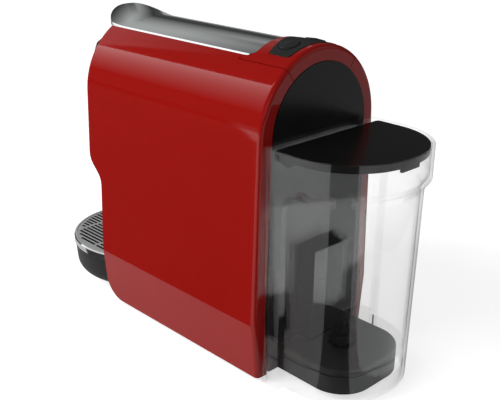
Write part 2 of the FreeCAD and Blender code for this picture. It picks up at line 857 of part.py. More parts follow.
def lever_sweep(label, outer, inner, half, centre):
    """Strip between two radii, swept along the lever and up its lip."""
    body = new_body(label)
    profile = sketch_on(body, "XZ", f"{LEVER_REAR} + 1")
    draw_sector(profile, outer, inner, half, centre)
    spine = sketch_on(body, "YZ", "0")
    start = Vector(number(LEVER_REAR) + 1, number(LEVER_TOP), 0)
    bend = Vector(number(LEVER_TIP) + number("lip_length"), number(LEVER_TOP), 0)
    radius = number("lip_bend")
    run = number("lip_length") + 1
    angle = math.asin(run / radius)

    def on_lip(turned):
        return bend + Vector(-radius * math.sin(turned), radius * (1 - math.cos(turned)), 0)

    spine.addGeometry(Part.LineSegment(start, bend), False)
    spine.addGeometry(Part.Arc(on_lip(angle), on_lip(angle / 2), bend), False)
    starts_at_bend = (spine.Geometry[1].StartPoint - bend).Length < run / 2
    near, far = (1, 2) if starts_at_bend else (2, 1)
    rules = spot(0, 1, f"{LEVER_REAR} + 1", LEVER_TOP)
    rules += spot(0, 2, f"{LEVER_TIP} + lip_length", LEVER_TOP)
    rules += [
        (("Tangent", 0, 2, 1, near), None),
        (("Radius", 1, radius), "lip_bend"),
        (("DistanceX", -1, 1, 1, far, number(LEVER_TIP) - 1), f"{LEVER_TIP} - 1"),
    ]
    constrain(spine, rules)
    pipe = body.newObject("PartDesign::AdditivePipe", "Pipe")
    pipe.Profile = profile
    pipe.Spine = spine
    return body


def make_lever():
    """Arched lever plate with a lip that bends up at its front end, in a bright bevelled edge bead."""
    half = "lever_half + trim_width"
    sheet_body = lever_sweep("lever_sheet", LEVER_RADIUS, f"{LEVER_RADIUS} - lever_wall", half, LEVER_CENTRE)
    plan = new_body("lever_outline")
    pad(plan, "XY", "arch_height", f"{TOP} + {BEYOND}", lever_plan("0"))
    core = new_body("lever_core")
    pad(core, "XY", "arch_height", f"{TOP} + {BEYOND}", lever_plan("trim_width"))
    whole = overlap("lever_whole", sheet_body, plan)
    keep(overlap("lever_plate", whole, core))
    half = "lever_half + trim_bevel"
    bevel = lever_sweep("trim_bevel_room", f"{BEVEL_RADIUS} + {BEYOND}", BEVEL_RADIUS, half, BEVEL_CENTRE)
    keep(cut("lever_trim", whole, core, bevel))


FRAME_TOP = f"({LEVER_CENTRE} + sqrt(({LEVER_RADIUS} - lever_wall)^2 - lever_frame_half^2))"


def make_lever_frame():
    """Channel under the lever plate, with hinge ears, cranks and crank pins."""
    frame = new_body("lever_frame")
    inner = "(lever_frame_half - lever_arm)"
    front = f"({LEVER_TIP} + lip_length)"
    pin_z = f"({HINGE_Z} - crank_drop)"
    pin_boss = "(2 * crank_pin_radius)"
    web = rectangle(negative("lever_frame_half"), "lever_frame_half", front, f"{HINGE_Y} - 2 * ear_radius")
    pad(frame, "XY", f"{FRAME_TOP} - lever_web", FRAME_TOP, web)
    crank = [
        (f"{HINGE_Y} - ear_radius", HINGE_Z),
        (f"{PIN_Y} - {pin_boss}", pin_z),
        (f"{PIN_Y} + {pin_boss}", pin_z),
        (f"{HINGE_Y} + ear_radius", HINGE_Z),
    ]
    bar = rectangle(front, HINGE_Y, f"{FRAME_TOP} - lever_arm_depth", FRAME_TOP)
    for low, high in ((inner, "lever_frame_half"), (negative("lever_frame_half"), negative(inner))):
        pad(frame, "YZ", low, high, bar)
        round_pad(frame, "YZ", low, high, HINGE_Y, HINGE_Z, "ear_radius")
        pad(frame, "YZ", low, high, crank)
        round_pad(frame, "YZ", low, high, PIN_Y, pin_z, pin_boss)
    reach = "(lever_frame_half + crank_pin_reach)"
    for low, high in ((inner, reach), (negative(reach), negative(inner))):
        round_pad(frame, "YZ", low, high, PIN_Y, pin_z, "crank_pin_radius")
    bore = "hinge_pin_radius + running_fit"
    drill(frame, "YZ", negative("lever_frame_half"), "lever_frame_half", HINGE_Y, HINGE_Z, bore)
    keep(frame)
    pin = new_body("lever_hinge_pin")
    half = "(cheek_inner + cheek_wall)"
    round_pad(pin, "YZ", negative(half), half, HINGE_Y, HINGE_Z, "hinge_pin_radius")
    keep(pin)


def make_cheeks():
    """Two upright brew cheeks that hold the hinge pin and guide the brew carriage."""
    front = f"({FRONT} + front_sink + front_wall + fit)"
    rear = f"({HINGE_Y} + ear_radius)"
    tower = f"({HINGE_Z} + hinge_pin_radius + 2 * seam)"
    outline = [
        (front, DECK_TOP),
        (rear, DECK_TOP),
        (rear, tower),
        (f"{HINGE_Y} - ear_radius", tower),
        (f"{HINGE_Y} - 3 * ear_radius", CHEEK_TOP),
        (front, CHEEK_TOP),
    ]
    outer = "(cheek_inner + cheek_wall)"
    inner = f"({RAIL_INNER} + fit)"
    root = "(cheek_inner + cheek_wall / 2)"
    ledge = rectangle(front, rear, f"{RAIL_BOTTOM} - fit - cheek_wall", f"{RAIL_BOTTOM} - fit")
    for label, side in (("right_brew_cheek", 1), ("left_brew_cheek", -1)):

        def span(low, high):
            return (low, high) if side > 0 else (negative(high), negative(low))

        cheek = new_body(label)
        pad(cheek, "YZ", *span("cheek_inner", outer), outline)
        pad(cheek, "YZ", *span(inner, root), ledge)
        drill(cheek, "YZ", *span("0", outer), HINGE_Y, HINGE_Z, "hinge_pin_radius + running_fit")
        keep(cheek)


def make_carriage():
    """Moving brew head: disc, two rails with crank slots and the coffee nozzle, and the seal in its face."""
    carriage = new_body("brew_carriage")
    rear = f"({CHAMBER_FRONT} - fit)"
    front = f"({rear} - head_length)"
    outer = "(cheek_inner - fit - seam / 2)"
    slot_half = "(crank_pin_radius + crank_play)"
    end = f"({PIN_Y} + {slot_half} + rail_end)"
    round_pad(carriage, "XZ", front, rear, "0", BREW, "chamber_radius")
    bar = rectangle(negative(outer), outer, RAIL_BOTTOM, RAIL_TOP)
    pad(carriage, "XZ", front, f"{rear} - rail_end", bar)
    rail = rectangle(front, end, RAIL_BOTTOM, RAIL_TOP)
    for low, high in ((RAIL_INNER, outer), (negative(outer), negative(RAIL_INNER))):
        pad(carriage, "YZ", low, high, rail)
    low = f"{HINGE_Z} - {CRANK} - {slot_half}"
    high = f"{HINGE_Z} - crank_drop + {slot_half}"
    slot_round = f"{slot_half} - seam / 2"
    slot = [
        (f"{PIN_Y} - {slot_half}", low, slot_round),
        (f"{PIN_Y} + {slot_half}", low, slot_round),
        (f"{PIN_Y} + {slot_half}", high, slot_round),
        (f"{PIN_Y} - {slot_half}", high, slot_round),
    ]
    pocket(carriage, "YZ", negative(outer), outer, slot)
    tube_y = f"({front} - nozzle_length + 1.5 * stub_radius)"
    round_pad(carriage, "XZ", f"{front} - nozzle_length", front, "0", NOZZLE_Z, "stub_radius + 1")
    round_pad(carriage, "XY", f"{NOZZLE_Z} - nozzle_drop", NOZZLE_Z, "0", tube_y, "stub_radius")
    inner = "(chamber_bore + groove_margin)"

    def groove(sketch):
        draw_circle(sketch, "0", BREW, f"{inner} + groove_width")
        draw_circle(sketch, "0", BREW, inner)

    extrude(carriage, "Pocket", "XZ", f"{rear} - groove_depth", rear, groove)
    keep(carriage)
    seal = new_body("brew_seal")
    slack = "running_fit"
    ends = (f"{inner} + {slack}", f"{inner} + groove_width - {slack}")
    turn(seal, rectangle(*ends, slack, f"groove_depth - {slack}"))
    keep(place(seal, "0", rear, BREW, Vector(1, 0, 0), 90))


def make_chamber():
    """Fixed capsule chamber, open to the front, on two ears between the cheeks."""
    chamber = new_body("capsule_chamber")
    floor = "(chamber_length - chamber_depth)"
    round_pad(chamber, "XZ", CHAMBER_FRONT, CHAMBER_REAR, "0", BREW, "chamber_radius")
    half = "(cheek_inner - seam / 2)"
    ear = rectangle(negative(half), half, f"{BREW} - 4 * stub_radius", f"{RAIL_BOTTOM} - stub_radius")
    pad(chamber, "XZ", f"{CHAMBER_REAR} - 3 * stub_radius", CHAMBER_REAR, ear)
    drill(chamber, "XZ", CHAMBER_FRONT, f"{CHAMBER_REAR} - {floor}", "0", BREW, "chamber_bore")
    keep(chamber)
    injector = new_body("injector_head")
    end = f"({CHAMBER_REAR} + injector_length)"
    round_pad(injector, "XZ", CHAMBER_REAR, end, "0", BREW, "chamber_bore + 3")
    round_pad(injector, "XZ", end, f"{end} + stub_length", "0", BREW, "stub_radius")
    keep(injector)


def make_chute():
    """Deck under the lever with the slot that a capsule drops into."""
    chute = new_body("capsule_chute")
    half = "(cheek_inner + cheek_wall - 1)"
    front = f"({HEAD} + nose_wall + 5)"
    rear = f"({HINGE_Y} - 3 * ear_radius)"
    top = f"({CHEEK_TOP} + chute_wall)"
    pad(chute, "XY", CHEEK_TOP, top, rectangle(negative(half), half, front, rear))
    slot_rear = f"({CHAMBER_FRONT} - 1)"
    slot_front = f"({CHAMBER_FRONT} - 2 * crank_back + 1)"
    slot = "(chamber_bore + chute_rim)"
    rim_half = f"{slot} + chute_rim"
    rim = mirrored([
        (rim_half, f"{slot_front} - chute_rim", "2 * chute_rim"),
        (rim_half, f"{slot_rear} + chute_rim", "2 * chute_rim"),
    ])
    pad(chute, "XY", top, f"{top} + chute_rim", rim)
    hole = mirrored([(slot, slot_front, "chute_wall"), (slot, slot_rear, "chute_wall")])
    pocket(chute, "XY", CHEEK_TOP, f"{top} + chute_rim", hole)
    keep(chute)


def make_inner_frame():
    """Table-shaped inner frame: two walls on the chassis and a deck that carries the brew unit."""
    frame = new_body("inner_frame")
    front = f"({FRONT} + front_sink + front_wall + fit)"
    rear = f"({REAR} - ring_depth - plate_flange - standoff_length - 6)"
    inner = "(frame_half - frame_wall)"
    pad(frame, "XY", CHASSIS_TOP, DECK_TOP, rectangle(negative("frame_half"), "frame_half", front, rear))
    pocket(frame, "XZ", f"{front} - {BEYOND}", f"{rear} + {BEYOND}",
           rectangle(negative(inner), inner, "0", "deck_height"))
    for x, y in boss_places():
        round_pad(frame, "XY", CHASSIS_TOP, f"{CHASSIS_TOP} + boss_height", x, y, "boss_radius")
        drill(frame, "XY", CHASSIS_TOP, f"{CHASSIS_TOP} + boss_height - 2", x, y, "screw_radius")
    ends = (f"{CHAMBER_FRONT} - 2 * crank_back - cheek_wall", f"{CHAMBER_FRONT} + cheek_wall")
    drop = rectangle(negative("chamber_radius"), "chamber_radius", *ends)
    pocket(frame, "XY", "deck_height", DECK_TOP, drop)
    drill(frame, "XY", "deck_height", DECK_TOP, negative("pump_x"), PUMP_Y, "hose_radius + 2")
    keep(frame)


def boss_places():
    for side in (1, -1):
        for y in (f"({FRONT} + 2 * chassis_setback - 4)", f"({REAR} - 2 * chassis_setback)"):
            yield f"{side} * (frame_half - boss_inset)", y


def foot_places():
    for side in (1, -1):
        for y in (f"({FRONT} + 3 * chassis_setback)", f"({REAR} - chassis_setback)"):
            yield f"{side} * (chassis_half - 2 * foot_radius)", y


def make_chassis():
    chassis = new_body("chassis")
    front = f"({FRONT} + chassis_setback)"
    rear = f"({REAR} - ring_depth - seam)"
    half = "chassis_half"
    pad(chassis, "XY", "foot_height", CHASSIS_TOP, rectangle(negative(half), half, front, rear))
    for x, y in boss_places():
        drill(chassis, "XY", "foot_height", CHASSIS_TOP, x, y, "screw_radius + seam")
        drill(chassis, "XY", "foot_height", "foot_height + screw_head", x, y, "screw_head_radius + seam")
    x, y = gland_place()
    drill(chassis, "XY", "foot_height", CHASSIS_TOP, x, y, "gland_radius - gland_lip + seam / 2")
    keep(chassis)
    feet = []
    screws = []
    for x, y in foot_places():
        foot = new_body("foot")
        turn(foot, [("0", "0"), ("foot_radius - foot_edge", "0"), ("foot_radius", "foot_edge"),
                    ("foot_radius", "foot_height"), ("0", "foot_height")])
        feet.append(place(foot, x, y, "0"))
    for x, y in boss_places():
        screw = new_body("screw")
        tip = "(screw_head + chassis_wall + boss_height / 2)"
        shank = "(screw_radius - running_fit)"
        turn(screw, [("0", "0"), ("screw_head_radius", "0"), ("screw_head_radius", "screw_head"),
                     (shank, "screw_head"), (shank, tip), ("0", tip)])
        screws.append(place(screw, x, y, "foot_height"))
    keep(group("feet", *feet))
    keep(group("chassis_screws", *screws))
    gland = new_body("cord_gland")
    lip = "(foot_height - foot_edge)"
    neck = "(gland_radius - gland_lip)"
    top = f"({CHASSIS_TOP} + gland_lip)"
    turn(gland, [("gland_bore", lip), ("gland_radius", lip), ("gland_radius", "foot_height"),
                 (neck, "foot_height"), (neck, top), ("gland_bore", top)])
    keep(place(gland, *gland_place(), "0"))


def gland_place():
    return negative("frame_half - 2 * gland_radius"), f"({REAR} - 2 * chassis_setback)"


def make_front_panel():
    front = f"({FRONT} + front_sink)"
    panel = new_body("front_panel")
    half = "(frame_half + frame_wall)"
    top = f"({NOSE_FLOOR} - fit)"
    pad(panel, "XZ", front, f"{front} + front_wall", rectangle(negative(half), half, CHASSIS_TOP, top))
    gap = "(bin_half + 2 * seam)"
    window = rectangle(negative(gap), gap, f"{CHASSIS_TOP} - 1", "bin_height + 2.5 * seam")
    pocket(panel, "XZ", front, f"{front} + front_wall", window)
    keep(panel)


def nose_plan(inset, rear):
    side = f"(arch_radius - shell_wall - nose_side_gap - {inset})"
    return mirrored([
        (f"nose_half - {inset} / 2", f"{NOSE} + {inset}", "nose_round"),
        (side, f"{HEAD} - 1 + {inset}", "nose_side_round"),
        (side, rear),
    ])


def nose_brow(label, inset, rear):
    """Side outline of the brew head cover, whose upper front leans back under the lever."""
    body = new_body(label)
    width = f"(arch_radius + {BEYOND})"
    top = f"({TOP} - brow_top - {inset})"
    lean = "(brow_drop / nose_reach)"
    ahead = f"(nose_reach + {BEYOND})"
    pad(body, "YZ", negative(width), width, [
        (f"{HEAD} + {inset} - {ahead}", "0"),
        (rear, "0"),
        (rear, top),
        (f"{HEAD} + {inset}", top),
        (f"{HEAD} + {inset} - {ahead}", f"{top} - {lean} * {ahead}"),
    ])
    return body


def make_nose():
    """Black brew head cover between the panels, rounded in plan, with a floor over the cup space."""
    rear = f"({HEAD} + nose_wall + 4)"
    outside = new_body("nose_outside")
    pad(outside, "XY", NOSE_FLOOR, f"{TOP} + 1", nose_plan("0", rear))
    inside = new_body("nose_inside")
    pad(inside, "XY", f"{NOSE_FLOOR} + nose_wall", f"{TOP} + 2", nose_plan("nose_wall", f"{rear} + {BEYOND}"))
    under_arch = "(shell_wall + nose_side_gap / 2)"
    ends = (f"{NOSE} - {BEYOND}", f"{rear} + {BEYOND}")
    arch = arch_block("nose_arch", *ends, under_arch, "0")
    arch_inside = arch_block("nose_arch_inside", *ends, f"{under_arch} + nose_wall", "0")
    solid = overlap("nose_solid", overlap("nose_round", outside, arch), nose_brow("nose_brow", "0", ends[1]))
    hollow = overlap("nose_hollow", inside, arch_inside)
    void = overlap("nose_void", hollow, nose_brow("nose_brow_inside", "nose_wall", f"{ends[1]} + {BEYOND}"))
    cover = cut("nose_cover", solid, void)
    floor = new_body("nose_floor")
    side = "(arch_radius - shell_wall - nose_side_gap - nose_wall / 2)"
    back = f"({FRONT} + front_sink + front_wall)"
    ground = rectangle(negative(side), side, f"{rear} - nose_wall", back)
    pad(floor, "XY", NOSE_FLOOR, f"{NOSE_FLOOR} + nose_wall", ground)
    hole = new_body("spout_hole")
    ends = (f"{NOSE_FLOOR} - 1", f"{NOSE_FLOOR} + {BEYOND}")
    round_pad(hole, "XY", *ends, "0", SPOUT_Y, "spout_radius + seam / 2")
    keep(cut("brew_head_cover", join("nose_whole", cover, floor), hole))


def make_spout():
    spout = new_body("coffee_spout")
    lip = f"({NOSE_FLOOR} + nose_wall)"
    low = f"({NOSE_FLOOR} - spout_drop)"
    flange = "(spout_radius + spout_flange)"
    turn(spout, [
        ("spout_bore", low),
        ("spout_radius - spout_flange / 2", low),
        ("spout_radius", f"{low} + spout_flange"),
        ("spout_radius", lip),
        (flange, lip),
        (flange, f"{lip} + spout_lip"),
        ("spout_bore", f"{lip} + spout_lip"),
    ])
    keep(place(spout, "0", SPOUT_Y, "0"))
    trough = new_body("coffee_trough")
    low = f"({lip} + spout_lip)"
    top = f"({NOZZLE_Z} - nozzle_drop - trough_clearance)"
    front = f"({NOSE} + nose_wall + seam)"
    rear = f"({CHAMBER_FRONT} - head_length - nozzle_length + 3 * stub_radius)"
    half = "trough_half"
    outer_round = "(2 * nose_wall)"
    pad(trough, "XY", low, top, mirrored([(half, front, outer_round), (half, rear, outer_round)]))
    wall = "nose_wall"
    inner_half = f"{half} - {wall}"
    inner = mirrored([(inner_half, f"{front} + {wall}", wall), (inner_half, f"{rear} - {wall}", wall)])
    pocket(trough, "XY", f"{low} + {wall}", top, inner)
    drill(trough, "XY", low, f"{low} + {wall}", "0", SPOUT_Y, "spout_bore")
    keep(trough)


TRAY_BACK = f"({FRONT} - 2 * fit)"
GRID_ROOM = "(tray_radius - ring_wall - 2 * fit)"
GRID_SEAT = "(tray_height - grid_wall - fit)"


def tray_cup(label, inset, floor, top, back):
    """Round cup shape about the tray's centre, cut flat at the back."""
    cup = new_body(label)
    body_top = "(tray_height - tray_ring_height)"
    rim = "(tray_radius - ring_round)"
    lean = f"(({rim} - tray_bottom_radius) / ({body_top} - tray_bottom))"
    low = f"(tray_bottom_radius - {inset} + {lean} * ({floor} - tray_bottom))"
    high = f"({rim} - {inset} + {lean} * ({top} - {body_top}))"
    turn(cup, [("0", floor), (low, floor, f"tray_round - {inset}"), (high, top), ("0", top)])
    place(cup, "0", TRAY, "0")
    width = f"(tray_radius + {BEYOND})"
    front = f"({TRAY} - {width})"
    room = block(label + "_room", negative(width), width, front, back, "0", f"{top} + 1")
    return overlap(label + "_cut", cup, room)


def make_tray():
    """Round cup with a tongue under the capsule bin, and the bright ring that carries the grid."""
    rim = "(tray_height - tray_ring_height)"
    inner_floor = "(tray_bottom + tray_wall)"
    inner_back = f"({TRAY_BACK} - tray_wall)"
    outside = tray_cup("tray_outside", "0", "tray_bottom", rim, TRAY_BACK)
    inside = tray_cup("tray_inside", "tray_wall", inner_floor, f"{rim} + 1", inner_back)
    tongue = new_body("tray_tongue")
    low = f"({CHASSIS_TOP} + fit)"
    end = f"({FRONT} + front_sink + bin_length)"
    strip = rectangle(negative("bin_half"), "bin_half", inner_back, end)
    pad(tongue, "XY", low, f"{low} + tongue_wall", strip)
    keep(join("drip_tray", cut("tray_cup", outside, inside), tongue))
    ring = new_body("ring_whole")
    turn(ring, [
        (f"{GRID_ROOM} - grid_edge", f"{GRID_SEAT} - fit - tray_lip"),
        (GRID_ROOM, f"{GRID_SEAT} - fit - tray_lip"),
        (GRID_ROOM, rim),
        ("tray_radius - ring_round", rim),
        ("tray_radius", f"{rim} + ring_round"),
        ("tray_radius", "tray_height - ring_round"),
        ("tray_radius - ring_round", "tray_height"),
        (GRID_ROOM, "tray_height"),
        (GRID_ROOM, f"{GRID_SEAT} - fit / 3"),
        (f"{GRID_ROOM} - grid_edge", f"{GRID_SEAT} - fit / 3"),
    ])
    place(ring, "0", TRAY, "0")
    width = f"(tray_radius + {BEYOND})"
    room = block("ring_room", negative(width), width, f"{TRAY} - {width}", TRAY_BACK, "0", "tray_height + 1")
    disc = new_body("ring_disc")
    round_pad(disc, "XY", rim, "tray_height", "0", TRAY, "tray_radius - ring_round")
    back_room = block("ring_back", negative(width), width, inner_back, TRAY_BACK, rim, "tray_height")
    keep(join("drip_tray_ring", overlap("ring_front", ring, room), overlap("ring_bar", disc, back_room)))


def make_grid():
    """Slotted drip grid: rows of slots along Y, parted by bridges that lie in line across the rows."""
    radius = number(f"{GRID_ROOM} - fit")
    back = number(f"{TRAY_BACK} - tray_wall - fit")
    centre = number(TRAY)
    pitch = number("grid_pitch")
    slot = number("grid_slot")
    bridge = number("grid_bridge")
    step = number("grid_slot_length") + bridge
    field = radius - number("grid_edge")
    chord = math.sqrt(radius ** 2 - (back - centre) ** 2)
    right = Vector(chord, back, 0)
    left = Vector(-chord, back, 0)
    bow = Part.Arc(right, Vector(0, centre - radius, 0), left).toShape()
    wires = [Part.Wire([bow, Part.LineSegment(left, right).toShape()])]
    rows = int((field - slot) / pitch)
    lengths = int(field / step) + 1
    for row in range(-rows, rows + 1):
        x = row * pitch
        reach = math.sqrt(field ** 2 - (abs(x) + slot / 2) ** 2)
        end = min(centre + reach, back - number("grid_edge"))
        for place_along in range(-lengths, lengths):
            start = centre + place_along * step
            low = max(start + bridge / 2, centre - reach)
            high = min(start + step - bridge / 2, end)
            if high - low < 2 * slot:
                continue
            sides = ((-1, low), (1, low), (1, high), (-1, high), (-1, low))
            wires.append(Part.makePolygon([Vector(x + side * slot / 2, y, 0) for side, y in sides]))
    grid = doc.addObject("Part::Feature", "Grid")
    grid.Shape = Part.Face(wires).extrude(Vector(0, 0, number("grid_wall")))
    grid.Placement = Placement(Vector(0, 0, number(GRID_SEAT)), Rotation())
    grid.Label = "drip_grid"
    keep(grid)


def make_bin():
    """Used capsule bin that stands on the tray's tongue and closes the front of the machine."""
    front = f"({FRONT} + front_sink)"
    rear = f"({front} + bin_length)"
    low = f"({CHASSIS_TOP} + fit + tongue_wall)"
    capsule_bin = new_body("capsule_bin")
    half = "bin_half"
    outer = mirrored([(half, front, "bin_round"), (half, rear, "2 * bin_round")])
    pad(capsule_bin, "XY", low, "bin_height", outer)
    inner_half = f"{half} - bin_wall"
    inner = mirrored([
        (inner_half, f"{front} + bin_wall", "bin_round"),
        (inner_half, f"{rear} - bin_wall", "2 * bin_round - bin_wall"),
    ])
    pocket(capsule_bin, "XY", f"{low} + bin_wall", "bin_height", inner)
    keep(capsule_bin)


def make_heater():
    """Cast thermoblock on four posts, grooved on top, with two thermostats on its side."""
    heater = new_body("thermoblock")
    rear = f"({PUMP_Y} + heater_length / 2)"
    front = f"({rear} - heater_length)"
    low = f"({DECK_TOP} + heater_post)"
    top = HEATER_TOP
    half = "heater_half"
    inset = "heater_round"
    pad(heater, "XY", low, top, mirrored([(half, front, inset), (half, rear, inset)]))
    for side in (1, -1):
        for y in (f"{front} + {inset}", f"{rear} - {inset}"):
            round_pad(heater, "XY", DECK_TOP, low, f"{side} * ({half} - {inset})", y, "stub_radius")
    for y in (f"({rear} - 2 * heater_groove)", f"({rear} - 4 * heater_groove)"):
        groove = rectangle(negative(half), half, y, f"{y} + heater_groove")
        pocket(heater, "XY", f"{top} - heater_groove", top, groove)
    round_pad(heater, "XY", top, HEATER_OUT_Z, "0", HEATER_OUT_Y, "stub_radius")
    round_pad(heater, "XY", HEATER_IN_Z, low, negative("pump_x"), PUMP_Y, "stub_radius")
    keep(heater)
    discs = []
    for share in (1, 2):
        disc = new_body("thermostat")
        z = f"{low} + {share} * ({top} - {low}) / 3"
        ends = (half, f"{half} + thermostat_wall")
        round_pad(disc, "YZ", *ends, f"{PUMP_Y} - {inset}", z, "thermostat_radius")
        discs.append(disc)
    keep(group("thermostats", *discs))


def tube(label, points, bend):
    """Hose along straight runs joined by tangent arcs, with its bore."""
    spots = [Vector(*(number(value) for value in point)) for point in points]
    edges = []
    last = spots[0]
    for before, corner, after in zip(spots, spots[1:], spots[2:]):
        back = (before - corner).normalize()
        onward = (after - corner).normalize()
        half = back.getAngle(onward) / 2
        reach = bend / math.tan(half)
        middle = corner + (back + onward).normalize() * (bend / math.sin(half) - bend)
        edges.append(Part.LineSegment(last, corner + back * reach).toShape())
        edges.append(Part.Arc(corner + back * reach, middle, corner + onward * reach).toShape())
        last = corner + onward * reach
    edges.append(Part.LineSegment(last, spots[-1]).toShape())
    path = Part.Wire(edges)
    along = (spots[1] - spots[0]).normalize()

    def swept(radius):
        ring = Part.Wire([Part.Circle(spots[0], along, radius).toShape()])
        return path.makePipeShell([ring], True, False)

    hose = doc.addObject("Part::Feature", "Hose")
    hose.Shape = swept(number("hose_radius")).cut(swept(number("hose_bore")))
    hose.Label = label
    area = math.pi * (number("hose_radius") ** 2 - number("hose_bore") ** 2)
    print(f"{label}: volume over section times length {hose.Shape.Volume / (area * path.Length):.4f}")
    return keep(hose)


METER_Z = f"({CHASSIS_TOP} + meter_height / 2)"
HEATER_IN_Z = f"({DECK_TOP} + fit)"
HEATER_OUT_Y = f"({CHAMBER_REAR} + injector_length + stub_length + hose_bend + 2)"
HEATER_OUT_Z = f"({HEATER_TOP} + pump_stub - 1)"


def make_pump():
    pump = new_body("pump")
    top = "(pump_bottom + pump_length)"
    turn(pump, [("0", "pump_bottom - pump_stub"), ("stub_radius", "pump_bottom - pump_stub"),
                ("stub_radius", "pump_bottom"), ("pump_radius", "pump_bottom"), ("pump_radius", top),
                ("stub_radius", top), ("stub_radius", f"{top} + pump_stub"), ("0", f"{top} + pump_stub")])
    keep(place(pump, negative("pump_x"), PUMP_Y, "0"))
    coil = new_body("pump_coil")
    low = "(pump_bottom + (pump_length - coil_height) / 2)"
    half = "coil_half"
    corners = [(half, negative(half), "4"), (half, half, "4")]
    pad(coil, "XY", low, f"{low} + coil_height", mirrored(corners))
    drill(coil, "XY", low, f"{low} + coil_height", "0", "0", "pump_radius")
    keep(place(coil, negative("pump_x"), PUMP_Y, "0"))
    mounts = []
    for side in (1, -1):
        mount = new_body("pump_mount")
        y = f"({side} * (coil_half - mount_half))"
        corners = rectangle("-1 * pump_radius", "pump_radius", f"{y} - mount_half", f"{y} + mount_half")
        pad(mount, "XY", CHASSIS_TOP, low, corners)
        mounts.append(place(mount, negative("pump_x"), PUMP_Y, "0"))
    keep(group("pump_mounts", *mounts))


def make_flow_meter():
    """Flow meter cup with a turbine rotor on its pin, and its cap."""
    meter = new_body("flow_meter_body")
    top = f"({CHASSIS_TOP} + meter_height)"
    floor = f"({CHASSIS_TOP} + meter_wall)"
    bore = "(meter_radius - meter_wall)"
    round_pad(meter, "XY", CHASSIS_TOP, top, "0", "0", "meter_radius")
    drill(meter, "XY", floor, top, "0", "0", bore)
    round_pad(meter, "XY", CHASSIS_TOP, f"{top} - 1.5 * meter_wall", "0", "0", "axle_radius")
    reach = "(meter_radius + meter_stub)"
    root = "(meter_radius - meter_wall / 4)"
    round_pad(meter, "XZ", root, reach, "0", METER_Z, "stub_radius")
    round_pad(meter, "YZ", negative(reach), negative(root), "0", METER_Z, "stub_radius")
    keep(place(meter, "meter_x", PUMP_Y, "0"))
    cap = new_body("flow_meter_cap")
    round_pad(cap, "XY", top, f"{top} + meter_wall", "0", "0", "meter_radius")
    keep(place(cap, "meter_x", PUMP_Y, "0"))
    rotor = new_body("flow_meter_rotor")
    low = f"({floor} + fit)"
    high = f"({top} - 1.4 * meter_wall)"
    blade = "(axle_radius / 2)"
    round_pad(rotor, "XY", low, high, "0", "0", "rotor_radius / 2")
    pad(rotor, "XY", low, high, rectangle(negative(blade), blade, negative("rotor_radius"), "rotor_radius"))
    pad(rotor, "XY", low, high, rectangle(negative("rotor_radius"), "rotor_radius", negative(blade), blade))
    drill(rotor, "XY", low, high, "0", "0", "axle_radius + running_fit")
    keep(place(rotor, "meter_x", PUMP_Y, "0"))


def make_hoses():
    """Water line from the dock through flow meter, pump and heater to the injector."""
    bend = number("hose_bend")
    meter_end = "(meter_radius + meter_stub)"
    pump_x = negative("pump_x")
    pump_low = "(pump_bottom - pump_stub)"
    pump_high = "(pump_bottom + pump_length + pump_stub)"
    injector_end = f"{CHAMBER_REAR} + injector_length + stub_length"
    tube("inlet_hose", [
        ("meter_x", DOCK_STUB, METER_Z),
        ("meter_x", f"{PUMP_Y} + {meter_end}", METER_Z),
    ], bend)
    tube("suction_hose", [
        (f"meter_x - {meter_end}", PUMP_Y, METER_Z),
        (pump_x, PUMP_Y, METER_Z),
        (pump_x, PUMP_Y, pump_low),
    ], number(f"{pump_low} - {METER_Z} - fit"))
    tube("pressure_hose", [(pump_x, PUMP_Y, pump_high), (pump_x, PUMP_Y, HEATER_IN_Z)], bend)
    tube("brew_hose", [
        ("0", HEATER_OUT_Y, HEATER_OUT_Z),
        ("0", HEATER_OUT_Y, BREW),
        ("0", injector_end, BREW),
    ], bend)


def tank_plan(inset, half, *front):
    """Plan of the tank: front corners as given, wide round corners and a bowed wall at the rear."""
    side = f"(({half}) - ({inset}))"
    share = f"({side} / tank_half)"
    end_cut = "(tank_end_round * (sqrt(1 + (tank_end_bow / tank_half)^2) - 1))"
    apex = f"({TANK_REAR} - ({inset}) - (tank_half - ({half})) + {end_cut} * {share})"
    return mirrored([
        (side, *front),
        (side, f"{apex} - tank_end_bow * {share}", f"tank_corner * {share}"),
        ("0", apex, f"tank_end_round * {share}"),
    ])


def lower_half(z):
    """Half width of the tank under the shoulder, which tapers down."""
    share = f"({SHOULDER_BOTTOM} - ({z})) / ({SHOULDER_BOTTOM} - tank_bottom)"
    return f"(tank_half - shoulder_step - tank_taper * {share})"


def tank_block(label, inset, low, high):
    """Outside or inside shape of the tank: a column in front and a band on top, both of full width, with a
    rounded corner between them, and a bowl that is set in under the band."""
    body = new_body(label)
    front = f"{TANK_FRONT} + ({inset})"
    pad(body, "XY", low, high, tank_plan(inset, "tank_half", front, "tank_front_round"))
    back = f"({TANK_FRONT} + column_depth - ({inset}))"
    step = f"({SHOULDER_TOP} + ({inset}))"
    far = f"{TANK_REAR} + {BEYOND}"
    below = f"{low} - {BEYOND}"
    recess = [(back, below), (far, below), (far, step), (back, step, f"column_round + ({inset})")]
    width = f"(tank_half + {BEYOND})"
    pocket(body, "YZ", negative(width), width, recess)
    bowl_front = f"{TANK_FRONT} + column_depth / 2"
    sections = [(low, tank_plan(inset, lower_half(low), bowl_front))]
    if number(high) > number(step):
        waist = f"({SHOULDER_BOTTOM} + ({inset}))"
        sections.append((waist, tank_plan(inset, "tank_half - shoulder_step", bowl_front)))
        sections.append((f"{step} + tank_wall / 2", tank_plan(inset, "tank_half - band_lip", bowl_front)))
    else:
        sections.append((high, tank_plan(inset, lower_half(high), bowl_front)))
    loft(body, sections)
    return body


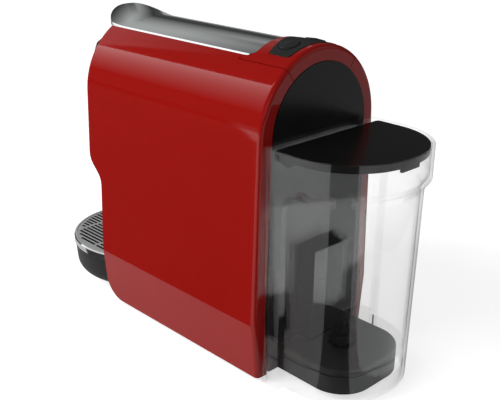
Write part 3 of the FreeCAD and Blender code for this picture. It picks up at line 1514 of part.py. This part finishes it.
def rib_room(label, gap):
    """Space round the rear plate's rib, open below and in front."""
    body = new_body(label)
    half = f"(rib_half + {gap})"
    face = f"({RIB_FACE} + {gap})"
    pad(body, "YZ", negative(half), half, [
        (REAR, "tank_bottom - 1"),
        (face, "tank_bottom - 1"),
        (face, f"rib_height - rib_slope + {gap}"),
        (REAR, f"rib_height + {gap}"),
    ])
    return body


def make_tank():
    outside = tank_block("tank_outside", "0", "tank_bottom", "tank_height")
    inside = tank_block("tank_inside", "tank_wall", TANK_FLOOR, "tank_height + 1")
    water = cut("water_room", inside, rib_room("rib_jacket", "(rib_gap + tank_wall)"))
    skirt = tank_block("skirt_inside", "tank_wall", "tank_bottom - 1", f"{TANK_FLOOR} - tank_wall")
    half = f"({lower_half('tank_bottom')} - tank_wall)"
    ends = (f"{REAR} - {BEYOND}", f"{TANK_FRONT} + column_depth + tank_wall")
    neck = block("neck_room", negative(half), half, *ends, "0", f"{TANK_FLOOR} - tank_wall")
    pins = new_body("lid_pin_holes")
    reach = "(tank_half - tank_wall / 3)"
    round_pad(pins, "YZ", negative(reach), reach, LID_PIN_Y, LID_PIN_Z, "lid_pin_radius + running_fit")
    port = new_body("valve_port")
    round_pad(port, "XY", "dock_height", f"{TANK_FLOOR} + 1", "0", VALVE_Y, "valve_bore")
    keep(cut("water_tank", outside, water, skirt, neck, rib_room("rib_notch", "rib_gap"), pins, port))


def lid_plan(inset, front):
    return tank_plan(f"tank_wall + lid_gap + ({inset})", "tank_half", front, "tank_front_round - 1")


def make_lid():
    """Hollow lid with a hinge ear and pin on each side and a finger tab at the rear."""
    lid = new_body("tank_lid")
    low = f"({LID_TOP} - lid_skirt)"
    pad(lid, "XY", low, LID_TOP, lid_plan("0", LID_FRONT))
    pocket(lid, "XY", low, f"{LID_TOP} - lid_wall", lid_plan("lid_wall", f"{LID_FRONT} - fit"))
    half = "(tank_half - tank_wall - lid_gap)"
    inner = f"({half} - lid_wall)"
    reach = "(tank_half - tank_wall / 2)"
    ear_top = f"{LID_TOP} - lid_wall / 3"
    ear = [
        (LID_FRONT, ear_top),
        (LID_FRONT, f"{LID_PIN_Z} - lid_pin_radius - seam"),
        (f"{LID_PIN_Y} + lid_ear", f"{LID_PIN_Z} - lid_ear_drop", "lid_ear_round"),
        (f"{LID_PIN_Y} + lid_ear", ear_top),
    ]
    for side in (1, -1):

        def span(near, away):
            return (near, away) if side > 0 else (negative(away), negative(near))

        pad(lid, "YZ", *span(inner, half), ear)
        round_pad(lid, "YZ", *span(inner, reach), LID_PIN_Y, LID_PIN_Z, "lid_pin_radius")
    rear = f"({TANK_REAR} - tank_wall - lid_gap)"
    tab = rectangle(negative("lid_tab_half"), "lid_tab_half", f"{rear} - lid_wall", f"{rear} - lid_wall / 3")
    pad(lid, "XY", f"{low} - lid_tab", f"{low} + lid_tab / 2", tab)
    keep(lid)


def make_valve():
    """Tank valve: a hollow body on the tank floor and a poppet that the dock's pin lifts."""
    floor = TANK_FLOOR
    low = f"({floor} - tank_wall)"
    top = f"({floor} + valve_height)"
    roof = f"({floor} + valve_chamber)"
    guide = "(valve_stem + 2 * fit)"
    body = new_body("tank_valve_body")
    turn(body, [
        ("valve_bore", floor),
        ("valve_radius", floor),
        ("valve_radius", f"{roof} + valve_wall"),
        (f"{guide} + valve_wall", f"{roof} + valve_wall"),
        (f"{guide} + valve_wall", top),
        (guide, top),
        (guide, roof),
        ("valve_bore", roof),
    ])
    keep(place(body, "0", VALVE_Y, "0"))
    poppet = new_body("tank_valve_poppet")
    head = "(valve_bore - 1)"
    seat = f"({floor} - seam)"
    tip = f"({top} + 2 * valve_stem)"
    stem = "valve_stem"
    turn(poppet, [("0", low), (head, low), (head, seat), (stem, seat), (stem, tip), ("0", tip)])
    keep(place(poppet, "0", VALVE_Y, "0"))


DOCK_STUB = f"({REAR} - dock_neck - stub_length)"


def make_dock():
    """Black base under the tank, with a neck into the body, a hose stub and a round dimple at the rear."""
    dock = new_body("tank_dock")

    def plan(inset):
        half = f"({DOCK_HALF} - {inset})"
        front = f"{REAR} - dock_neck + {inset}"
        return mirrored([(half, front), (half, f"{DOCK_REAR} - {inset}", f"dock_corner - {inset}")])

    groove_top = "(dock_height - dock_groove_drop)"
    groove_low = f"({groove_top} - dock_groove_width)"
    pad(dock, "XY", "foot_height", "dock_height", plan("dock_groove"))
    pad(dock, "XY", "foot_height", groove_low, plan("0"))
    pad(dock, "XY", groove_top, "dock_height", plan("0"))
    top = number("dock_height")
    round_edges(dock, "dock_edge", lambda edge: at_height(edge, "z", top))
    under = rectangle(negative("tank_half"), "tank_half", f"{REAR} - 2 * dock_neck", f"{REAR} - ring_depth")
    pocket(dock, "XY", "foot_height", CHASSIS_TOP, under)
    root = f"{REAR} - dock_neck + 2 * dock_groove"
    round_pad(dock, "XZ", DOCK_STUB, root, "meter_x", METER_Z, "stub_radius")
    seat = "(dock_height - seal_depth)"
    drill(dock, "XY", seat, "dock_height", "0", VALVE_Y, "valve_radius + 1")
    middle = f"({groove_low} - dock_plug - fit)"
    drill(dock, "XZ", f"{DOCK_REAR} - dock_plug_sink", f"{DOCK_REAR} + 1", "0", middle, "dock_plug")
    round_pad(dock, "XY", seat, "dock_height - fit", "0", VALVE_Y, "valve_stem")
    keep(dock)
    seal = new_body("dock_seal")
    outer = "(valve_radius + 1 - running_fit)"
    lip = "(seal_depth - seam)"
    turn(seal, [("valve_bore - 2", "0"), (outer, "0"), (outer, lip), ("valve_bore + 1", lip)])
    keep(place(seal, "0", VALVE_Y, seat))


def check_and_write():
    """Stops on any failed object, then writes one file for each sub-part."""
    doc.recompute()
    for item in doc.Objects:
        bad = [state for state in item.State if state in ("Invalid", "Error")]
        if bad:
            raise RuntimeError(f"{item.Label} ({item.Name}): {bad}")
    for item in NODES:
        if item.Shape.isNull() or not item.Shape.isValid():
            raise RuntimeError(f"{item.Label}: bad shape")
    os.makedirs("parts", exist_ok=True)
    for item in NODES:
        item.Shape.exportStep(f"parts/{item.Label}.step")
    print(len(NODES), "sub-parts,", sum(len(item.Shape.Solids) for item in NODES), "solids")


shell = make_shell()
make_panels(shell)
make_top_cover(shell)
make_button_pad()
make_buttons()
make_rear_plate()
make_control_board()
make_lever()
make_lever_frame()
make_cheeks()
make_carriage()
make_chamber()
make_chute()
make_inner_frame()
make_chassis()
make_front_panel()
make_nose()
make_spout()
make_tray()
make_grid()
make_bin()
make_heater()
make_pump()
make_flow_meter()
make_tank()
make_lid()
make_valve()
make_dock()
make_hoses()
check_and_write()
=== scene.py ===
# Capsule espresso machine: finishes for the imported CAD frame, and the studio around it.
import json
import math

import bpy
from mathutils import Matrix, Vector

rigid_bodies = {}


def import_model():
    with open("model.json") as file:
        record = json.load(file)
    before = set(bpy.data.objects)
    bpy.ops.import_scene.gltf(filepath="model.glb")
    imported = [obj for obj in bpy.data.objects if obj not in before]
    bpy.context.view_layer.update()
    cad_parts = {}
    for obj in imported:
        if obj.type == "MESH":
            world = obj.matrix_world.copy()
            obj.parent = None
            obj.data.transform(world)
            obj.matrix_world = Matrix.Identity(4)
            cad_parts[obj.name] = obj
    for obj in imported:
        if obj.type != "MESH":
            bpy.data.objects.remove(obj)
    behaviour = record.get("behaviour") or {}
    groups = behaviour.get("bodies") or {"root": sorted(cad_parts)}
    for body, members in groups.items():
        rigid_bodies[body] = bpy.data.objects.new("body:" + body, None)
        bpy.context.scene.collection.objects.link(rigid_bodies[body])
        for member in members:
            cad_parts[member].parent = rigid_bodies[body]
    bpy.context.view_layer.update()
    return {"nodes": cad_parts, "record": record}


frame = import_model()
NODES = frame["nodes"]
MM = 0.001
for start_object in [o for o in bpy.data.objects if o.name in ("Cube", "Camera", "Light")]:
    bpy.data.objects.remove(start_object)


# Small helpers

def linear(code):
    """An sRGB hex colour as linear RGBA."""
    parts = [int(code[i:i + 2], 16) / 255 for i in (1, 3, 5)]
    return [c / 12.92 if c <= 0.04045 else ((c + 0.055) / 1.055) ** 2.4 for c in parts] + [1.0]


def per(size):
    """Texture scale whose features are about size millimetres wide."""
    return 1 / (size * MM)


def add(tree, kind, values=None, links=None, **settings):
    """Adds a node with its settings, its socket values and its incoming links."""
    made = tree.nodes.new(kind)
    for name, value in settings.items():
        setattr(made, name, value)
    for socket, value in (values or {}).items():
        made.inputs[socket].default_value = value
    for socket, source in (links or {}).items():
        tree.links.new(source, made.inputs[socket])
    return made


def finish_tree(name):
    """A new material with only its output node."""
    material = bpy.data.materials.new(name)
    material.use_nodes = True
    material.node_tree.nodes.clear()
    output = add(material.node_tree, "ShaderNodeOutputMaterial")
    return material, material.node_tree, output.inputs["Surface"]


def moulded(name, dark, light, shade_mm, grain_mm, relief_mm, smooth, rough, **values):
    """A surface from a mould: a slow shade between two colours, a grain in relief and in its gloss."""
    material, tree, surface = finish_tree(name)
    place = add(tree, "ShaderNodeTexCoord").outputs["Object"]
    shade = add(tree, "ShaderNodeTexNoise", {"Scale": per(shade_mm), "Detail": 2.0}, {"Vector": place})
    tone = add(tree, "ShaderNodeMix", {"A": linear(dark), "B": linear(light)},
               {"Factor": shade.outputs["Fac"]}, data_type="RGBA")
    grain = add(tree, "ShaderNodeTexNoise", {"Scale": per(grain_mm), "Detail": 3.0}, {"Vector": place})
    gloss = add(tree, "ShaderNodeMapRange", {"To Min": smooth, "To Max": rough},
                {"Value": grain.outputs["Fac"]})
    relief = add(tree, "ShaderNodeBump", {"Strength": 1.0, "Distance": relief_mm * MM},
                 {"Height": grain.outputs["Fac"]})
    face = add(tree, "ShaderNodeBsdfPrincipled", values, {
        "Base Color": tone.outputs["Result"],
        "Roughness": gloss.outputs["Result"],
        "Normal": relief.outputs["Normal"],
    })
    tree.links.new(face.outputs["BSDF"], surface)
    return material


# Finishes

def red_gloss_abs():
    # ABS from a polished mould: deep red under a sharp gloss, with a trace of orange peel.
    return moulded("red_abs_polished", "#9A100A", "#A0140F", shade_mm=70,
                   grain_mm=6, relief_mm=0.003, smooth=0.05, rough=0.08, IOR=1.5)


def black_satin_abs():
    # ABS from a satin mould: black that blurs what it mirrors.
    return moulded("black_abs_satin", "#0C0C0C", "#111211", shade_mm=60,
                   grain_mm=2, relief_mm=0.003, smooth=0.20, rough=0.28, IOR=1.4)


def dark_grey_abs():
    # ABS from a spark-eroded mould: charcoal with a fine matt grain, drawn coarser than its 0.1 mm to show.
    return moulded("dark_grey_abs_eroded", "#232423", "#2A2C2B", shade_mm=40,
                   grain_mm=0.6, relief_mm=0.02, smooth=0.42, rough=0.55, IOR=1.46)


def satin_lever_paint():
    # Metal-effect lacquer on ABS: soft grey metal that blurs its reflections.
    # Its flakes are finer than the 0.35 mm that they are drawn at to show.
    flake_mm = 0.35
    material, tree, surface = finish_tree("grey_metallic_lacquer")
    place = add(tree, "ShaderNodeTexCoord").outputs["Object"]
    flakes = add(tree, "ShaderNodeTexVoronoi", {"Scale": per(flake_mm)}, {"Vector": place})
    spark = add(tree, "ShaderNodeSeparateColor", None, {"Color": flakes.outputs["Color"]})
    tone = add(tree, "ShaderNodeMix", {"A": linear("#DDE2E1"), "B": linear("#E1E6E5")},
               {"Factor": spark.outputs["Red"]}, data_type="RGBA")
    gloss = add(tree, "ShaderNodeMapRange", {"To Min": 0.10, "To Max": 0.13},
                {"Value": spark.outputs["Green"]})
    face = add(tree, "ShaderNodeBsdfPrincipled", {"Metallic": 1.0}, {
        "Base Color": tone.outputs["Result"],
        "Roughness": gloss.outputs["Result"],
    })
    tree.links.new(face.outputs["BSDF"], surface)
    return material


def bright_chrome():
    # Chrome plated on ABS: a near mirror, softened a little by wiping haze.
    haze_mm = 9
    material, tree, surface = finish_tree("chrome_plated_abs")
    place = add(tree, "ShaderNodeTexCoord").outputs["Object"]
    haze = add(tree, "ShaderNodeTexNoise", {"Scale": per(haze_mm), "Detail": 3.0}, {"Vector": place})
    gloss = add(tree, "ShaderNodeMapRange", {"To Min": 0.05, "To Max": 0.13},
                {"Value": haze.outputs["Fac"]})
    tone = add(tree, "ShaderNodeMix", {"A": linear("#E2E4E5"), "B": linear("#ECEDED")},
               {"Factor": haze.outputs["Fac"]}, data_type="RGBA")
    face = add(tree, "ShaderNodeBsdfPrincipled", {"Metallic": 1.0}, {
        "Base Color": tone.outputs["Result"],
        "Roughness": gloss.outputs["Result"],
    })
    tree.links.new(face.outputs["BSDF"], surface)
    return material


def brushed_steel():
    # Stainless sheet brushed front to back: fine lines, drawn at 0.5 mm where the real ones are finer.
    line_mm = 0.5
    length_mm = 25
    relief_mm = 0.01
    material, tree, surface = finish_tree("stainless_sheet_brushed")
    place = add(tree, "ShaderNodeTexCoord").outputs["Object"]
    along = add(tree, "ShaderNodeMapping", {"Scale": (per(line_mm), per(length_mm), per(line_mm))},
                {"Vector": place})
    lines = add(tree, "ShaderNodeTexNoise", {"Scale": 1.0, "Detail": 3.0},
                {"Vector": along.outputs["Vector"]})
    gloss = add(tree, "ShaderNodeMapRange", {"To Min": 0.22, "To Max": 0.42},
                {"Value": lines.outputs["Fac"]})
    tone = add(tree, "ShaderNodeMix", {"A": linear("#DCDDDC"), "B": linear("#EEEFEE")},
               {"Factor": lines.outputs["Fac"]}, data_type="RGBA")
    relief = add(tree, "ShaderNodeBump", {"Strength": 1.0, "Distance": relief_mm * MM},
                 {"Height": lines.outputs["Fac"]})
    face = add(tree, "ShaderNodeBsdfPrincipled", {"Metallic": 1.0}, {
        "Base Color": tone.outputs["Result"],
        "Roughness": gloss.outputs["Result"],
        "Normal": relief.outputs["Normal"],
    })
    tree.links.new(face.outputs["BSDF"], surface)
    return material


def clear_san():
    # SAN, moulded clear: thin walls that show what is behind them unbent, under a sharp gloss with slow
    # waves. The gloss grows from its share straight on to a full mirror at a glancing view.
    wave_mm = 30
    relief_mm = 0.04
    straight_share = 0.05
    glance_power = 5.0
    material, tree, surface = finish_tree("clear_san_moulded")
    place = add(tree, "ShaderNodeTexCoord").outputs["Object"]
    waves = add(tree, "ShaderNodeTexNoise", {"Scale": per(wave_mm), "Detail": 1.0}, {"Vector": place})
    relief = add(tree, "ShaderNodeBump", {"Strength": 1.0, "Distance": relief_mm * MM},
                 {"Height": waves.outputs["Fac"]})
    gloss = add(tree, "ShaderNodeMapRange", {"To Min": 0.02, "To Max": 0.05},
                {"Value": waves.outputs["Fac"]})
    skin = add(tree, "ShaderNodeBsdfPrincipled", {"Base Color": linear("#F4F6F6"), "Metallic": 1.0},
               {"Normal": relief.outputs["Normal"], "Roughness": gloss.outputs["Result"]})
    through = add(tree, "ShaderNodeBsdfTransparent", {"Color": linear("#FEFEFE")})
    turned = add(tree, "ShaderNodeLayerWeight", {"Blend": 0.5}, {"Normal": relief.outputs["Normal"]})
    glance = add(tree, "ShaderNodeMath", {1: glance_power}, {0: turned.outputs["Facing"]},
                 operation="POWER")
    share = add(tree, "ShaderNodeMapRange", {"To Min": straight_share, "To Max": 1.0},
                {"Value": glance.outputs["Value"]})
    wall = add(tree, "ShaderNodeMixShader", None, {
        0: share.outputs["Result"],
        1: through.outputs["BSDF"],
        2: skin.outputs["BSDF"],
    })
    tree.links.new(wall.outputs["Shader"], surface)
    return material


def black_moulded_nylon():
    # Glass-filled nylon, moulded: dull black with a dry, slightly mottled skin.
    return moulded("black_nylon_moulded", "#121212", "#1B1B1B", shade_mm=12,
                   grain_mm=0.8, relief_mm=0.03, smooth=0.45, rough=0.62, IOR=1.5)


def white_moulded_acetal():
    # Acetal, moulded: milky white with a soft waxy sheen.
    return moulded("white_acetal_moulded", "#D3D3CE", "#DEDEDA", shade_mm=15,
                   grain_mm=1.0, relief_mm=0.01, smooth=0.30, rough=0.42, IOR=1.48)


def cast_aluminium():
    # Aluminium, die cast: pale grey, grainy skin with soft glints.
    return moulded("aluminium_die_cast", "#8F9192", "#A8AAAA", shade_mm=10,
                   grain_mm=0.9, relief_mm=0.05, smooth=0.38, rough=0.55, Metallic=1.0)


def black_rubber():
    # Rubber, moulded: black and dry, with almost no glint.
    return moulded("black_rubber_moulded", "#0D0D0D", "#151515", shade_mm=8,
                   grain_mm=0.7, relief_mm=0.03, smooth=0.65, rough=0.85, IOR=1.5)


def silicone_hose():
    # Silicone, extruded: milky, soft and a little glossy.
    return moulded("silicone_extruded", "#C9C4B8", "#D6D2C8", shade_mm=10,
                   grain_mm=1.5, relief_mm=0.01, smooth=0.30, rough=0.45, IOR=1.41)


def green_laminate():
    # Glass-epoxy board under solder mask: green with a faint woven mottle.
    return moulded("green_glass_epoxy", "#0B4A24", "#125C30", shade_mm=3,
                   grain_mm=0.6, relief_mm=0.01, smooth=0.28, rough=0.40, IOR=1.5)


FINISHES = {
    "red_gloss_plastic": red_gloss_abs,
    "black_gloss_plastic": black_satin_abs,
    "dark_grey_plastic": dark_grey_abs,
    "grey_satin_plastic": satin_lever_paint,
    "bright_chrome": bright_chrome,
    "brushed_steel": brushed_steel,
    "clear_plastic": clear_san,
    "black_moulded_plastic": black_moulded_nylon,
    "white_moulded_plastic": white_moulded_acetal,
    "cast_aluminium": cast_aluminium,
    "black_rubber": black_rubber,
    "silicone_hose": silicone_hose,
    "green_board": green_laminate,
}
MATERIALS = {slot: make() for slot, make in FINISHES.items()}


def dress_nodes():
    """Gives each CAD node the finish of its own material slot."""
    for row in frame["record"]["subparts"]:
        faces = NODES[row["node"]].data.materials
        faces.clear()
        faces.append(MATERIALS[row["material_slot"]])


# Studio shapes, in millimetres

def wedge(centre, first, last, near, away):
    """Corners of a floor wedge between two directions, in degrees from +X, and two distances."""
    corners = []
    for degrees, reach in [(first, near), (first, away), (last, away), (last, near)]:
        turn = math.radians(degrees)
        corners.append((centre[0] + reach * math.cos(turn), centre[1] + reach * math.sin(turn)))
    return corners


def upright(start, end, levels):
    """Rows of an upright card over the line from start to end, from its heights and their glow."""
    return [[(*start, z, glow), (*end, z, glow)] for z, glow in levels]


FLOOR_HALF = 8000
CARD_TOP = 1200
CLOTH_LIFT = 1
# The floor's own light to the eye, and the air's light on dull and on mirroring surfaces.
FLOOR_GLOW = 0.68
SKY_FILL = 0.3
SKY_MIRRORED = 0.06
# Floor cloths: the side and far ones keep the red panels deep, the eye one puts a dark band in the tank.
CLOTHS = {
    "side_cloth": ("#484848", [(105, -194), (4960, -FLOOR_HALF), (FLOOR_HALF, -FLOOR_HALF),
                               (FLOOR_HALF, -7835), (105, 60)]),
    "eye_cloth": ("#484848", wedge((5, 121), 17, 57, 50, FLOOR_HALF)),
    "far_cloth": ("#101010", [(-FLOOR_HALF, -FLOOR_HALF), (-150, -FLOOR_HALF), (-150, -450),
                              (-FLOOR_HALF, -450)]),
}
WHITE_CARD = wedge((0, 150), 60, 170, 60, 420)
# Rows of corners (x, y, glow) of the card overhead, which lights the arch and the lever.
TOP_ROWS = [
    [(20, -930, 0.04), (446, -1445, 0.44), (690, -1740, 0.6)],
    [(-500, -800, 0), (-300, -1400, 0.42), (-100, -2000, 0.5)],
    [(-900, -950, 0.05), (-750, -1450, 0.46), (-500, -2100, 0.46)],
    [(-1300, -1250, 0.05), (-1250, -1750, 0.33), (-1000, -2300, 0.33)],
]
BACK_LEVELS = [(750, 0), (1000, 0.1), (1550, 0.33), (2000, 0.36), (2600, 0)]
REAR_LEVELS = [(500, 0), (800, 0.3), (1900, 0.3), (2600, 0)]
# The two rear cards are for views from the front, the others for the photograph's view.
SOFTBOXES = {
    "side_softbox": upright((745, -2300), (545, -300), [(CARD_TOP, 2.2), (350, 0)]),
    "top_softbox": [[(x, y, CARD_TOP, glow) for x, y, glow in row] for row in TOP_ROWS],
    "back_softbox": upright((-2190, -2050), (-1500, -2600), BACK_LEVELS),
    "tray_softbox": upright((-335, -245), (-75, -495), [(100, 0.4), (240, 0.4)]),
    "rear_left_softbox": upright((-2700, 1300), (-900, 2900), REAR_LEVELS),
    "rear_right_softbox": upright((900, 2900), (2700, 1300), REAR_LEVELS),
}
LAMP_PLACE = Vector((1500, -700, 1200))
LAMP_AIM = Vector((0, 20, 110))
LAMP_SIZE = 1200
LAMP_WATTS = 27
PHOTO_WIDTH = 500
SENSOR = 36
FOCAL_PIXELS = 852.76
AZIMUTH = 135.62
ELEVATION = 21.21
ROLL = 0.64
EYE = (423.79, 457.42, 341.32)


# Studio

def stage_mesh(name, points, faces, material):
    """A mesh of the studio, which isn't part of the machine."""
    mesh = bpy.data.meshes.new(name)
    mesh.from_pydata([Vector(p) * MM for p in points], [], faces)
    mesh.materials.append(material)
    made = bpy.data.objects.new(name, mesh)
    bpy.context.scene.collection.objects.link(made)
    return made


def only_in_reflections(made):
    """Leaves a studio piece visible to mirrored rays alone."""
    made.visible_camera = False
    made.visible_diffuse = False
    made.visible_transmission = False
    made.visible_shadow = False


def flat_card(name, corners, material):
    """A card or cloth just over the floor, seen only where the machine mirrors it."""
    points = [(x, y, CLOTH_LIFT) for x, y in corners]
    only_in_reflections(stage_mesh(name, points, [tuple(range(len(points)))], material))


def straight_view(tree, ray):
    """1 for rays to the eye, also through glass, and 0 for the others."""
    return add(tree, "ShaderNodeMath", None, {
        0: ray.outputs["Is Camera Ray"],
        1: ray.outputs["Is Transmission Ray"],
    }, operation="MAXIMUM")


def pale_floor():
    """A plain pale floor that is white to the eye and keeps the machine's shadow."""
    material, tree, surface = finish_tree("floor_white_paper")
    ray = add(tree, "ShaderNodeLightPath")
    seen = straight_view(tree, ray)
    paper = add(tree, "ShaderNodeBsdfDiffuse", {"Color": linear("#F0F0F0")})
    level = add(tree, "ShaderNodeMath", {1: FLOOR_GLOW}, {0: seen.outputs["Value"]}, operation="MULTIPLY")
    glow = add(tree, "ShaderNodeEmission", {"Color": linear("#FFFFFF")},
               {"Strength": level.outputs["Value"]})
    both = add(tree, "ShaderNodeAddShader", None, {0: paper.outputs["BSDF"], 1: glow.outputs["Emission"]})
    tree.links.new(both.outputs["Shader"], surface)
    half = FLOOR_HALF
    points = [(-half, -half, 0), (half, -half, 0), (half, half, 0), (-half, half, 0)]
    stage_mesh("floor", points, [(0, 1, 2, 3)], material)


def softbox(name, rows):
    """A lit card as rows of corners (x, y, z, glow), seen only where the machine mirrors it."""
    material, tree, surface = finish_tree(name + "_cloth")
    level = add(tree, "ShaderNodeAttribute", attribute_name="glow")
    lit = add(tree, "ShaderNodeEmission", None, {"Strength": level.outputs["Fac"]})
    tree.links.new(lit.outputs["Emission"], surface)
    corners = [corner for row in rows for corner in row]
    wide = len(rows[0])
    starts = [row * wide + i for row in range(len(rows) - 1) for i in range(wide - 1)]
    faces = [(i, i + 1, i + 1 + wide, i + wide) for i in starts]
    made = stage_mesh(name, [corner[:3] for corner in corners], faces, material)
    glow = made.data.attributes.new("glow", "FLOAT", "POINT")
    glow.data.foreach_set("value", [corner[3] for corner in corners])
    only_in_reflections(made)


def floor_cloths():
    """Dull dark cloths on the floor, each in its own shade."""
    for name, (shade, corners) in CLOTHS.items():
        material, tree, surface = finish_tree(name + "_felt")
        felt = add(tree, "ShaderNodeBsdfDiffuse", {"Color": linear(shade)})
        tree.links.new(felt.outputs["BSDF"], surface)
        flat_card(name, corners, material)


def white_card():
    """A lit card on the floor behind the tank, which brightens the rim and the clear walls."""
    material, tree, surface = finish_tree("card_white_paper")
    lit = add(tree, "ShaderNodeEmission", {"Strength": 1.0})
    tree.links.new(lit.outputs["Emission"], surface)
    flat_card("white_card", WHITE_CARD, material)


def key_lamp():
    """A soft square lamp; its own shape stays out of the reflections."""
    light = bpy.data.lights.new("key_lamp", "AREA")
    light.size = LAMP_SIZE * MM
    light.energy = LAMP_WATTS
    made = bpy.data.objects.new("key_lamp", light)
    bpy.context.scene.collection.objects.link(made)
    made.location = LAMP_PLACE * MM
    made.rotation_mode = "QUATERNION"
    made.rotation_quaternion = (LAMP_AIM - LAMP_PLACE).to_track_quat("-Z", "Y")
    made.visible_glossy = False
    made.visible_camera = False


def studio_air():
    """White to the eye and through clear plastic, a plain fill to dull surfaces, and dark in mirrors."""
    world = bpy.data.worlds.new("studio_air")
    bpy.context.scene.world = world
    world.use_nodes = True
    tree = world.node_tree
    tree.nodes.clear()
    ray = add(tree, "ShaderNodeLightPath")
    seen = straight_view(tree, ray)
    fill = add(tree, "ShaderNodeMix", {"A": SKY_FILL, "B": SKY_MIRRORED},
               {"Factor": ray.outputs["Is Glossy Ray"]})
    level = add(tree, "ShaderNodeMix", {"B": 1.0},
                {"A": fill.outputs["Result"], "Factor": seen.outputs["Value"]})
    air = add(tree, "ShaderNodeBackground", {"Color": linear("#FFFFFF")},
              {"Strength": level.outputs["Result"]})
    output = add(tree, "ShaderNodeOutputWorld")
    tree.links.new(air.outputs["Background"], output.inputs["Surface"])


def camera():
    """The photograph's own viewpoint, turned a little about its line of sight."""
    data = bpy.data.cameras.new("camera")
    data.sensor_width = SENSOR
    data.lens = FOCAL_PIXELS / PHOTO_WIDTH * SENSOR
    made = bpy.data.objects.new("camera", data)
    bpy.context.scene.collection.objects.link(made)
    around = math.radians(AZIMUTH)
    above = math.radians(ELEVATION)
    level = math.cos(above)
    back = Vector((math.sin(around) * level, -math.cos(around) * level, math.sin(above)))
    right = Vector((math.cos(around), math.sin(around), 0))
    axes = Matrix((right, back.cross(right), back)).transposed()
    turn = Matrix.Rotation(math.radians(ROLL), 3, "Z")
    made.matrix_world = Matrix.Translation(Vector(EYE) * MM) @ (axes @ turn).to_4x4()
    bpy.context.scene.camera = made


bpy.context.scene.view_settings.view_transform = "Standard"
dress_nodes()
studio_air()
pale_floor()
for card, rows in SOFTBOXES.items():
    softbox(card, rows)
floor_cloths()
white_card()
key_lamp()
camera()
